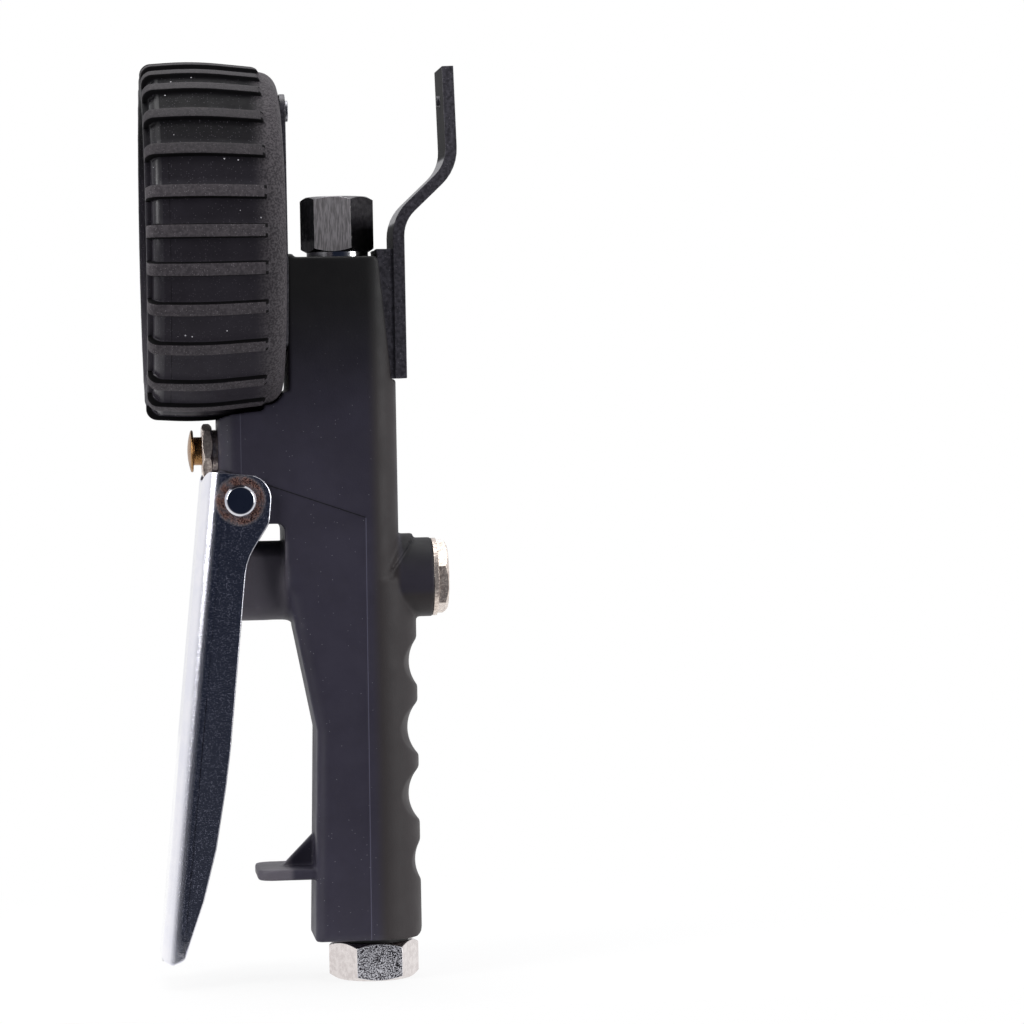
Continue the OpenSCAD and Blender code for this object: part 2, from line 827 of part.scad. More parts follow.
// Gauze cup that stands in the inlet's bore
module inlet_filter() {
    cup_r = passage_r + 1 - fit;
    cup_h = foot_z + inlet_shank_l - gap - port_l;
    color([0.75, 0.7, 0.5]) translate([0, 0, port_l]) difference() {
        cylinder(h = cup_h - 1, r = cup_r);
        translate([0, 0, -over]) cylinder(h = cup_h - 1, r = cup_r - 0.6);
    }
}

module outlet_fitting() {
    nut_z = top_z + lip_h + 0.5;
    color([0.45, 0.45, 0.47]) translate([outlet_x, 0, 0]) difference() {
        union() {
            translate([0, 0, nut_z]) rotate(outlet_turn) nut(outlet_h, outlet_af, true, true);
            translate([0, 0, top_z - outlet_shank_l + gap])
                cylinder(h = outlet_shank_l - gap + lip_h + 1.5, r = outlet_shank_r - fit);
        }
        translate([0, 0, nut_z + outlet_h - port_l]) cylinder(h = port_l + over, r = port_d / 2);
        translate([0, 0, top_z - outlet_shank_l])
            cylinder(h = 2 * (outlet_shank_l + outlet_h), r = passage_r);
    }
}

module outlet_seal() {
    color([0.7, 0.7, 0.71]) translate([outlet_x, 0, top_z])
        tube(lip_h + 0.5, outlet_shank_r + 0.7 * outlet_seat_w, outlet_shank_r);
}

// --- Lever valve --------------------------------------------------------------------------

module valve_plug() {
    hex_x = barrel_back + plug_flange_t;
    color([0.8, 0.79, 0.76]) difference() {
        union() {
            bar(barrel_back, hex_x, barrel_r - 0.2, valve_z);
            translate([hex_x, 0, valve_z]) rotate([0, 90, 0]) rotate(plug_turn)
                nut(plug_hex_t, plug_af, false, true);
            bar(barrel_back - plug_spigot_l, barrel_back, chamber_r - fit, valve_z);
        }
        bar(barrel_back - plug_spigot_l - over, spring_end_x, chamber_r - plug_wall, valve_z);
        // Groove of the O-ring
        turned(valve_z) translate([chamber_r, ring_x])
            square([4 * ring_wire + 0.2, 2 * ring_wire + 0.2], center = true);
    }
}

module plug_seal() {
    color([0.05, 0.05, 0.05]) turned(valve_z)
        translate([chamber_r - ring_wire - fit, ring_x]) circle(ring_wire, $fn = 24);
}

module valve_seat() {
    color([0.78, 0.6, 0.3]) turned(valve_z) polygon([
        [seat_hole_r, seat_front_x],
        [chamber_r - fit, seat_front_x],
        [chamber_r - fit, seat_front_x + seat_t],
        [seat_hole_r + 1.2, seat_front_x + seat_t],
        [seat_hole_r + 0.6, seat_front_x + seat_t + seat_rim],
        [seat_hole_r, seat_front_x + seat_t + seat_rim]
    ]);
}

module valve_spring() {
    color([0.7, 0.7, 0.72]) translate([poppet_x + poppet_t, 0, valve_z]) rotate([0, 90, 0])
        coil(0, spring_end_x - poppet_x - poppet_t, spring_r, spring_wire, 6);
}

module valve_stem() {
    neck_r = 1.8;
    tip_r = stem_rod_r;
    color([0.8, 0.8, 0.82]) turned(valve_z) polygon(concat(
        [[0, stem_tip_x]],
        [for (i = [1:6]) [tip_r * sin(15 * i), stem_tip_x + tip_r * 0.5 * (1 - cos(15 * i))]],
        [
            [stem_rod_r, flow_front_x - 0.5],
            [neck_r, flow_front_x + 0.5],
            [neck_r, poppet_x],
            [poppet_r, poppet_x],
            [poppet_r, poppet_x + poppet_t],
            [neck_r, poppet_x + poppet_t],
            [neck_r, poppet_x + poppet_t + 3.5],
            [0, poppet_x + poppet_t + 3.5]
        ]
    ));
}

module valve_pad() {
    color([0.06, 0.06, 0.06]) ring(pad_x, poppet_x, poppet_r - 0.3, 1.8 + fit, valve_z);
}

module stem_gland() {
    gland_x = barrel_x - 0.8;
    color([0.78, 0.6, 0.3])
        ring(gland_x, gland_x + 8, gland_r - fit, stem_rod_r + run, valve_z);
}

module stem_seal() {
    color([0.05, 0.05, 0.05]) turned(valve_z)
        translate([(gland_r + stem_rod_r) / 2, barrel_x + gland_l - seal_wire - 2 * run])
            circle(seal_wire, $fn = 24);
}

// --- Lever --------------------------------------------------------------------------------

// Side outline in the lever's own frame: pivot at the origin, web along -Z in front
module lever_side() {
    web = -web_offset;
    polygon(rounded([
        [web, lever_top, 0.4],
        [ear_reach, lever_top, 6.4],
        [ear_reach, -5.2, 5],
        [flange_reach, -15.5, 16],
        [flange_reach, -0.57 * lever_l, 140],
        [flange_reach - 2, -0.8 * lever_l, 90],
        [web + 6, -lever_l + 1.8, 2.5],
        [web + 2.8, -lever_l, 1.5],
        [web, -lever_l + 1, 0.4]
    ]));
}

// Plan of the folded sheet, open to the rear
module lever_plan(w, r) {
    translate([-web_offset, 0]) round_front_plan(w, r, web_offset + ear_reach + over);
}

module lever_sheet() {
    intersection() {
        across(lever_w + over) lever_side();
        translate([0, 0, -lever_l - over]) linear_extrude(lever_l + lever_top + 2 * over) difference() {
            lever_plan(lever_w, lever_bend_r);
            translate([lever_t, 0])
                lever_plan(lever_w - 2 * lever_t, lever_bend_r - lever_t);
        }
    }
}

module lever() {
    color([0.85, 0.86, 0.88]) difference() {
        translate([pivot_x, 0, pivot_z]) rotate([0, lever_lean, 0]) difference() {
            lever_sheet();
            rotate([90, 0, 0]) cylinder(h = 2 * lever_w, r = pin_d / 2 + run, center = true);
        }
        // Notch in the top of the web that clears the bleed valve
        along(bleed_hex_x - 4, nose_x) polygon([
            [-notch_w / 2, pivot_z + lever_top + over],
            [notch_w / 2, pivot_z + lever_top + over],
            [notch_floor_w / 2, notch_z],
            [-notch_floor_w / 2, notch_z]
        ]);
    }
}

module lever_pin() {
    head_r = pin_head_d / 2;
    neck_r = pin_d / 2 - 0.7;
    color([0.6, 0.6, 0.62]) translate([pivot_x, 0, pivot_z]) rotate([90, 0, 0]) rotate_extrude()
        polygon([
            [0, -pin_end_y],
            [pin_d / 2 - 0.4, -pin_end_y],
            [pin_d / 2, -pin_end_y + 0.4],
            [pin_d / 2, -ear_face_y - gap - clip_t],
            [neck_r, -ear_face_y - gap - clip_t],
            [neck_r, -ear_face_y - gap],
            [pin_d / 2, -ear_face_y - gap],
            [pin_d / 2, ear_face_y + gap],
            [head_r, ear_face_y + gap],
            [head_r, ear_face_y + gap + 0.5 * pin_head_t],
            [head_r - 0.7, ear_face_y + gap + pin_head_t],
            [0, ear_face_y + gap + pin_head_t]
        ]);
}

// E-shaped clip that snaps into the pin's groove
module retaining_clip() {
    grip_r = pin_d / 2 - 0.7 + fit;
    clip_r = pin_head_d / 2 + 0.4;
    color([0.55, 0.55, 0.57])
        translate([pivot_x, ear_face_y + gap + clip_t, pivot_z]) rotate([90, 0, 0])
            linear_extrude(clip_t) difference() {
                circle(clip_r);
                circle(grip_r);
                translate([-grip_r * 0.92, -clip_r - over]) square([2 * grip_r * 0.92, clip_r + over]);
                for (a = [30, 150]) rotate(a) translate([grip_r - 0.2, -0.6]) square([1.3, 1.2]);
            }
}

// --- Bleed valve --------------------------------------------------------------------------

module bleed_valve_body() {
    color([0.78, 0.77, 0.74]) difference() {
        union() {
            translate([bleed_hex_x, 0, bleed_z]) rotate([0, 90, 0]) rotate(bleed_turn)
                nut(bleed_hex_t, bleed_af, true, true);
            bar(bleed_hex_x + 0.5, nose_x, bleed_shank_d / 2 + 0.6, bleed_z);
            bar(nose_x, bleed_inner_x, bleed_shank_d / 2 - fit, bleed_z);
        }
        bar(bleed_hex_x - over, bleed_shelf_x, button_stem_r + run, bleed_z);
        bar(bleed_shelf_x - over, bleed_inner_x + over, button_rod_r + 0.6, bleed_z);
    }
}

module bleed_button() {
    cap_r = button_cap_d / 2;
    dome = 0.9;
    color([0.8, 0.58, 0.25]) turned(bleed_z) polygon(concat(
        [for (i = [0:6])
            [cap_r * i / 6, button_back_x - button_cap_t - dome * (1 - pow(i / 6, 2))]],
        [
            [cap_r, button_back_x],
            [button_stem_r, button_back_x],
            [button_stem_r, button_stem_end_x],
            [button_rod_r, button_stem_end_x],
            [button_rod_r, bleed_inner_x + bleed_poppet_t],
            [0, bleed_inner_x + bleed_poppet_t]
        ]
    ));
}

module bleed_spring() {
    color([0.7, 0.7, 0.72]) translate([button_stem_end_x, 0, bleed_z]) rotate([0, 90, 0])
        coil(0, bleed_shelf_x - button_stem_end_x, 2.6, 0.3, 4);
}

module bleed_poppet() {
    color([0.06, 0.06, 0.06])
        ring(bleed_inner_x + 0.05, bleed_inner_x + bleed_poppet_t, bleed_poppet_r,
            button_rod_r + fit, bleed_z);
}

// --- Hook ---------------------------------------------------------------------------------

module hook() {
    bend_z = top_z + 9.8;
    lean = 0.7;
    pip_z = hook_top_z - 8.6;
    color([0.1, 0.1, 0.11]) difference() {
        union() {
            across(strap_w) polygon(ribbon([
                [strap_mid_x, hook_foot_z, 0],
                [strap_mid_x, bend_z, 10.5],
                [strap_mid_x + hook_throw, bend_z + 0.94 * hook_throw, 11.5],
                [strap_mid_x + hook_throw - lean, hook_top_z, 0]
            ], strap_t));
            // Small pip that keeps the hook on its peg
            bar(strap_mid_x + hook_throw - lean - strap_t / 2 - 0.6,
                strap_mid_x + hook_throw - lean, 1.4, pip_z);
        }
        hook_screw_holes();
    }
}

module hook_screw_holes() {
    for (z = hook_screw_zs) {
        bar(0, strap_back + over, hook_screw_r + fit, z);
        taper_bar(strap_back - hook_screw_r, strap_back + fit, hook_screw_r, 2 * hook_screw_r + fit, z);
    }
}

// Wedge between the body's inclined seat and the strap
module hook_block() {
    block_top = top_z + 1.9;
    color([0.12, 0.12, 0.13]) difference() {
        across(strap_w - 1) polygon([
            [seat_x(hook_foot_z), hook_foot_z],
            [strap_back - strap_t, hook_foot_z],
            [strap_back - strap_t, block_top],
            [seat_x(block_top), block_top]
        ]);
        hook_screw_holes();
        translate([outlet_x, 0, top_z - over]) cylinder(h = 10, r = outlet_af / sqrt(3) + gap);
    }
}

module hook_screws() {
    color([0.3, 0.3, 0.32]) for (z = hook_screw_zs) {
        bar(seat_x(z) - hook_screw_l + gap, strap_back - hook_screw_r + 0.5, hook_screw_r, z);
        difference() {
            taper_bar(strap_back - hook_screw_r, strap_back, hook_screw_r, 2 * hook_screw_r, z);
            translate([strap_back - 1.2, 0, z]) rotate([0, 90, 0]) cylinder(h = 2, r = 1.4, $fn = 6);
        }
    }
}

// --- Gauge --------------------------------------------------------------------------------

// Half outline of the boot in radius and X, closed along the axis
function boot_outline(r, front, back) =
    rounded([
        [0, front, 0],
        [r - 0.9, front, boot_edge_r],
        [r, front + 0.39 * (back - front), 80],
        [r - 2.3, back, boot_edge_r + 0.5],
        [0, back, 0]
    ]);

// Ribs that run over the crown and round the front edge
module boot_ribs() {
    inner_r = bezel_r + 1;
    intersection() {
        turned(gauge_z) difference() {
            polygon(boot_outline(boot_r, boot_front_x, boot_back_x));
            translate([0, boot_front_x - over]) square([inner_r, boot_back_x - boot_front_x + 2 * over]);
        }
        translate([0, 0, gauge_z]) for (a = rib_angles, s = [-1, 1], t = [0, 180])
            if (a < 90 || s > 0)
                rotate([s * a + t, 0, 0]) translate([boot_front_x - over, inner_r - over, -rib_w / 2])
                    cube([rib_back_x - boot_front_x + over, boot_r, rib_w]);
    }
}

module boot_shell() {
    lip_x = bezel_front_x - fit;
    turned(gauge_z) difference() {
        union() {
            polygon(boot_outline(boot_r - rib_h, boot_front_x + rib_h, boot_back_x));
            translate([0, boot_front_x]) square([boot_window_r + boot_ring_w, 2 * rib_h]);
        }
        translate([0, lip_x]) square([bezel_r, case_front_x + bezel_overlap + 2.5 - lip_x]);
        translate([0, lip_x]) square([case_r, case_back_x - lip_x]);
        translate([0, boot_front_x - over]) square([boot_window_r, case_back_x - boot_front_x]);
        translate([0, case_back_x - over]) square([boot_hole_r, 2 * boot_floor_t + 2 * over]);
    }
}

module gauge_boot() {
    color([0.09, 0.09, 0.1]) difference() {
        union() {
            boot_shell();
            boot_ribs();
        }
        for (s = [-1, 1]) translate([0, s * arm_y, 0])
            bar(case_back_x - over, boot_back_x + over, gauge_screw_r + fit, gauge_screw_z);
        bar(case_back_x - over, boot_back_x + over, stem_r + 1, stem_z);
    }
}

module gauge_case() {
    ledge_x = dial_x + dial_t;
    color([0.2, 0.2, 0.22]) difference() {
        turned(gauge_z) difference() {
            translate([0, case_front_x]) square([case_r - fit, case_back_x - case_front_x]);
            translate([0, case_front_x - over])
                square([case_r - case_t, socket_x - case_front_x + over]);
        }
        bar(case_back_x - case_t - over, case_back_x + over, stem_r + fit, stem_z);
        for (s = [-1, 1]) translate([0, s * arm_y, 0])
            bar(case_back_x - case_t - over, case_back_x + over, gauge_screw_r + fit, gauge_screw_z);
        // Blow-out hole
        translate([0, 20, gauge_z]) rotate([0, 90, 0])
            translate([0, 0, case_back_x - case_t - over]) cylinder(h = 5, r = 3);
    }
    color([0.2, 0.2, 0.22]) ring(ledge_x, ledge_x + 1.5, case_r - case_t, dial_r - 1.5, gauge_z);
}

module gauge_bezel() {
    color([0.15, 0.15, 0.16]) turned(gauge_z) polygon([
        [window_r, bezel_front_x],
        [bezel_r - 0.6 - fit, bezel_front_x],
        [bezel_r - fit, bezel_front_x + 0.6],
        [bezel_r - fit, case_front_x + bezel_overlap],
        [case_r, case_front_x + bezel_overlap],
        [case_r, lens_x],
        [window_r, lens_x]
    ]);
}

module gauge_lens() {
    color([0.85, 0.9, 0.95, 0.35]) bar(lens_x, lens_x + lens_t, case_r - fit, gauge_z);
}

module lens_gasket() {
    color([0.06, 0.06, 0.06])
        ring(lens_x + lens_t, case_front_x, case_r - fit, case_r - case_t - 1, gauge_z);
}

module gauge_dial() {
    color([0.95, 0.95, 0.94]) ring(dial_x, dial_x + dial_t, dial_r, shaft_r + 1, gauge_z);
}

// --- Movement -----------------------------------------------------------------------------

// Outline of teeth first to last of a wheel of pitch radius r with n teeth
function teeth(r, n, first, last) =
    let (
        step = 360 / n,
        root = r - 1.15 * tooth_module,
        tip_circle = r + 0.8 * tooth_module
    )
    [for (i = [first:last], p = [
        [root, -0.33], [r, -0.225], [tip_circle, -0.09],
        [tip_circle, 0.09], [r, 0.225], [root, 0.33]
    ])
        p[0] * [cos((i + p[1]) * step), sin((i + p[1]) * step)]];

// Profile in radius and X, turned about the gauge's axis from angle a, up from the bottom
module swept(a, sweep) {
    translate([0, 0, gauge_z]) rotate([0, 90, 0]) rotate([0, 0, a])
        rotate_extrude(angle = sweep) children();
}

// Shaft, pinion, collet and pointer, which turn as one
module gauge_pointer() {
    color([0.12, 0.12, 0.12]) {
        bar(pointer_x - 0.8, back_plate_x + plate_t, shaft_r, gauge_z);
        bar(pointer_x - 0.8, pointer_x + 1.6, 2.6, gauge_z);
        bar(hair_x - 0.3, hair_x + hair_w + 0.3, collet_r, gauge_z);
        along(mesh_x - gap, mesh_x + mesh_t + gap) translate([0, gauge_z])
            rotate(270 - 180 / pinion_teeth)
                polygon(teeth(pinion_r, pinion_teeth, 0, pinion_teeth - 1));
        translate([0, 0, gauge_z]) rotate([pointer_zero, 0, 0]) along(pointer_x, pointer_x + pointer_t)
            polygon([
                [-1.3, -9],
                [1.3, -9],
                [1.6, 0],
                [0.5, pointer_l - 3],
                [0, pointer_l],
                [-0.5, pointer_l - 3],
                [-1.6, 0]
            ]);
    }
}

// Toothed sector on its arbor below the pinion, with a pin in its tail for the link
module sector_gear() {
    half_teeth = ceil(sector_swing / sector_step / 2) + 2;
    hub_r = 3;
    slot_r = 0.35 * sector_r;
    color([0.8, 0.62, 0.3]) {
        translate([0, 0, gauge_z - centre_distance]) {
            bar(front_plate_x, back_plate_x + plate_t, arbor_r, 0);
            along(mesh_x, mesh_x + mesh_t) rotate(90 + sector_start) {
                difference() {
                    polygon(concat([[0, 0]], teeth(sector_r, sector_teeth, -half_teeth, half_teeth)));
                    // Window that lightens the sector
                    polygon([
                        [slot_r, -0.3 * slot_r],
                        [2 * slot_r, -0.6 * slot_r],
                        [2.15 * slot_r, 0],
                        [2 * slot_r, 0.6 * slot_r],
                        [slot_r, 0.3 * slot_r]
                    ]);
                }
                circle(hub_r);
                translate([-tail_l, -1.2]) square([tail_l, 2.4]);
                translate([-tail_l, 0]) circle(1.8);
            }
        }
        translate([0, tail_pin.x, tail_pin.y])
            bar(mesh_x, link_x + link_t + gap, link_pin_r, gauge_z);
    }
}

// Link from the sector's tail to the tip of the bent tube
module tube_link() {
    reach = tip - tail_pin;
    color([0.7, 0.7, 0.72]) along(link_x, link_x + link_t)
        translate([tail_pin.x, gauge_z + tail_pin.y]) rotate(atan2(reach.y, reach.x)) difference() {
            union() {
                circle(1.7);
                translate([0, -0.8]) square([norm(reach), 1.6]);
                translate([norm(reach), 0]) circle(1.7);
            }
            circle(link_pin_r + run);
            translate([norm(reach), 0]) circle(link_pin_r);
        }
}

// Two plates on four pillars, with a stud for the spiral spring
module movement_frame() {
    plate_w = 16;
    low = gauge_z - centre_distance - 6;
    color([0.75, 0.6, 0.32]) difference() {
        union() {
            for (x = [front_plate_x, back_plate_x])
                along(x, x + plate_t) polygon(rounded([
                    [-plate_w / 2, low, 2],
                    [plate_w / 2, low, 2],
                    [plate_w / 2, gauge_z + 5, 3],
                    [-plate_w / 2, gauge_z + 5, 3]
                ]));
            for (s = [-1, 1], z = [gauge_z - centre_distance + 3, gauge_z + 3])
                translate([0, s * (plate_w / 2 - 2), 0])
                    bar(front_plate_x, back_plate_x + plate_t, 1.3, z);
            translate([0, hair_r + hair_t + stud_r, 0])
                bar(hair_x - gap, back_plate_x + plate_t, stud_r, gauge_z);
        }
        bar(front_plate_x - over, back_plate_x + 2 * plate_t, shaft_r + run, gauge_z);
        bar(front_plate_x - over, back_plate_x + 2 * plate_t, arbor_r + run, gauge_z - centre_distance);
    }
}

// Section of the bent tube, in radius and X, grown by g
module tube_section(g) {
    translate([bourdon_r, tube_x]) {
        square([tube_h + 2 * g, tube_w - tube_h], center = true);
        for (s = [-1, 1]) translate([0, s * (tube_w - tube_h) / 2]) circle(tube_h / 2 + g);
    }
}

// Block that carries the movement and the tube, with the stem that screws into the body
module gauge_socket() {
    block_w = 16;
    block_low = gauge_z - bourdon_r - tube_h / 2 - 2.5;
    color([0.8, 0.65, 0.35]) difference() {
        union() {
            bar(socket_x - 1, stem_seat_x - gap, stem_r, stem_z);
            translate([block_x, -block_w / 2, block_low])
                cube([block_t, block_w, stem_z + stem_r + 1 - block_low]);
        }
        bar(tube_x, stem_seat_x + over, 1.5, stem_z);
        // Passage down to the slot that the tube's end is soldered into
        translate([tube_x, 0, gauge_z - bourdon_r]) cylinder(h = bourdon_r - stem_drop, r = 0.9);
        swept(-2, 2 + 4 * tube_start) tube_section(fit);
    }
}

module bourdon_tube() {
    color([0.78, 0.6, 0.3]) {
        difference() {
            swept(tube_start, tube_sweep + tube_cap) tube_section(0);
            swept(tube_start - 1, tube_sweep + 1) tube_section(-tube_wall);
        }
        // Ear at the closed tip, beside the link
        difference() {
            translate([0, tip.x, tip.y]) bar(tip_x, tube_x + tube_w / 2, tip_r, gauge_z);
            translate([0, tip.x, tip.y]) bar(tip_x - over, tip_x + 2, link_pin_r, gauge_z);
        }
    }
}

// Flat spiral of wire between the collet and the stud
module hairspring() {
    turns = 3;
    steps = 24 * turns;
    inner = collet_r + 2 * hair_t;
    function spiral(i, side) =
        (inner + (hair_r - inner) * i / steps + side * hair_t / 2)
            * [cos(360 * turns * i / steps), sin(360 * turns * i / steps)];
    color([0.75, 0.75, 0.78]) along(hair_x, hair_x + hair_w) translate([0, gauge_z]) polygon(concat(
        [for (i = [0:steps]) spiral(i, 1)],
        [for (i = [steps:-1:0]) spiral(i, -1)]
    ));
}

module gauge_bracket() {
    arm_w = 9;
    arm_top_z = gauge_screw_z + arm_w / 2;
    foot = stem_z - stem_r - 3.5;
    color([0.12, 0.12, 0.13]) difference() {
        along(boot_back_x, head_x) polygon(rounded([
            [-half_w, foot, 5],
            [half_w, foot, 5],
            [arm_y + arm_w / 2, foot + 18, 12],
            [arm_y + arm_w / 2, arm_top_z, arm_w / 2 - 0.01],
            [arm_y - arm_w / 2, arm_top_z, arm_w / 2 - 0.01],
            [arm_y - arm_w / 2, gauge_z, 6],
            [arm_w / 2 - arm_y, gauge_z, 6],
            [arm_w / 2 - arm_y, arm_top_z, arm_w / 2 - 0.01],
            [-arm_y - arm_w / 2, arm_top_z, arm_w / 2 - 0.01],
            [-arm_y - arm_w / 2, foot + 18, 12]
        ]));
        bar(boot_back_x - over, head_x + over, stem_r + fit, stem_z);
        for (s = [-1, 1]) {
            translate([0, s * arm_y, 0])
                bar(boot_back_x - over, head_x + over, gauge_screw_r + fit, gauge_screw_z);
            translate([0, s * bracket_screw_y, 0])
                bar(boot_back_x - over, head_x + over, bracket_screw_r + fit, bracket_screw_z);
        }
    }
}

module bracket_screws() {
    head_t = 1.8;
    color([0.6, 0.6, 0.62]) for (s = [-1, 1]) translate([0, s * bracket_screw_y, 0]) {
        bar(boot_back_x, head_x + bracket_screw_l - gap, bracket_screw_r, bracket_screw_z);
        bar(boot_back_x - head_t, boot_back_x, bracket_head_r, bracket_screw_z);
    }
}

module gauge_screws() {
    head_t = 0.8;
    color([0.8, 0.8, 0.8]) for (s = [-1, 1]) translate([0, s * arm_y, 0]) {
        bar(case_back_x - case_t, head_x, gauge_screw_r, gauge_screw_z);
        difference() {
            bar(head_x, head_x + head_t, gauge_head_r, gauge_screw_z);
            translate([head_x + head_t - 0.5, 0, gauge_screw_z]) rotate([0, 90, 0])
                cylinder(h = 2, r = 1.2, $fn = 6);
        }
    }
}

gun_body();
inlet_fitting();
inlet_seal();
inlet_filter();
outlet_fitting();
outlet_seal();
valve_plug();
plug_seal();
valve_seat();
valve_spring();
valve_stem();
valve_pad();
stem_gland();
stem_seal();
lever();
lever_pin();
retaining_clip();
bleed_valve_body();
bleed_button();
bleed_spring();
bleed_poppet();
hook();
hook_block();
hook_screws();
gauge_bracket();
bracket_screws();
gauge_screws();
gauge_boot();
gauge_case();
gauge_bezel();
gauge_lens();
lens_gasket();
gauge_dial();
gauge_pointer();
gauge_socket();
bourdon_tube();
tube_link();
movement_frame();
sector_gear();
hairspring();
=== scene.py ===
"""Hand-held tyre inflator gun: the CAD frame with finished surfaces, in a plain studio."""

import json
import math

import bmesh
import bpy
from mathutils import Matrix, Vector


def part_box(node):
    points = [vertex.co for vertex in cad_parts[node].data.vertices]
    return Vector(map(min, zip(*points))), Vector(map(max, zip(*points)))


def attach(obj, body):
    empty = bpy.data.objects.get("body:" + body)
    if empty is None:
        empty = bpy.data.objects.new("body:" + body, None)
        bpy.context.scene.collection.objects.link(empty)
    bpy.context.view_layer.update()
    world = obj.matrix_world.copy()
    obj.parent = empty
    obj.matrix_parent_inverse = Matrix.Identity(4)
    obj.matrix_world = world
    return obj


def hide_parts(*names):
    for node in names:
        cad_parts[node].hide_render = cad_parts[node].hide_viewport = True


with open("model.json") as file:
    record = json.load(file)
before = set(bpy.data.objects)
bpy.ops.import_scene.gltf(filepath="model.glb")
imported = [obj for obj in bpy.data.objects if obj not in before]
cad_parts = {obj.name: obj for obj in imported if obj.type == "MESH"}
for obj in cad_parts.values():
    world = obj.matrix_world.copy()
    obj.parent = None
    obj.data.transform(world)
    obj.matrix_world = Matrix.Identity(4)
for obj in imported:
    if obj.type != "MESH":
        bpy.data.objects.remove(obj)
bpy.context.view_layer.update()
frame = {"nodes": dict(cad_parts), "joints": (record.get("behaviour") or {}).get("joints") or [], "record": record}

scene = bpy.context.scene
nodes_of = frame["nodes"]
node_body = {n: b for b, names in frame["record"]["behaviour"]["bodies"].items() for n in names}
MM = 0.001


def rgb(r, g, b):
    """An sRGB colour, 0 to 255, as a linear one."""
    out = []
    for c in (r, g, b):
        c /= 255
        out.append(c / 12.92 if c <= 0.04045 else ((c + 0.055) / 1.055) ** 2.4)
    return (*out, 1.0)


# --- Camera -------------------------------------------------------------------------------

camera_data = bpy.data.cameras.new("camera")
camera_data.lens = 133.33
camera_data.sensor_width = 36
camera_data.clip_start = 0.01
camera = bpy.data.objects.new("camera", camera_data)
camera.location = (-0.08021, -1.01112, 0.15458)
camera.rotation_euler = [math.radians(a) for a in (88.2577, 1.0418, -6.7820)]
scene.collection.objects.link(camera)
scene.camera = camera
scene.view_settings.view_transform = "Standard"


# --- Materials ----------------------------------------------------------------------------


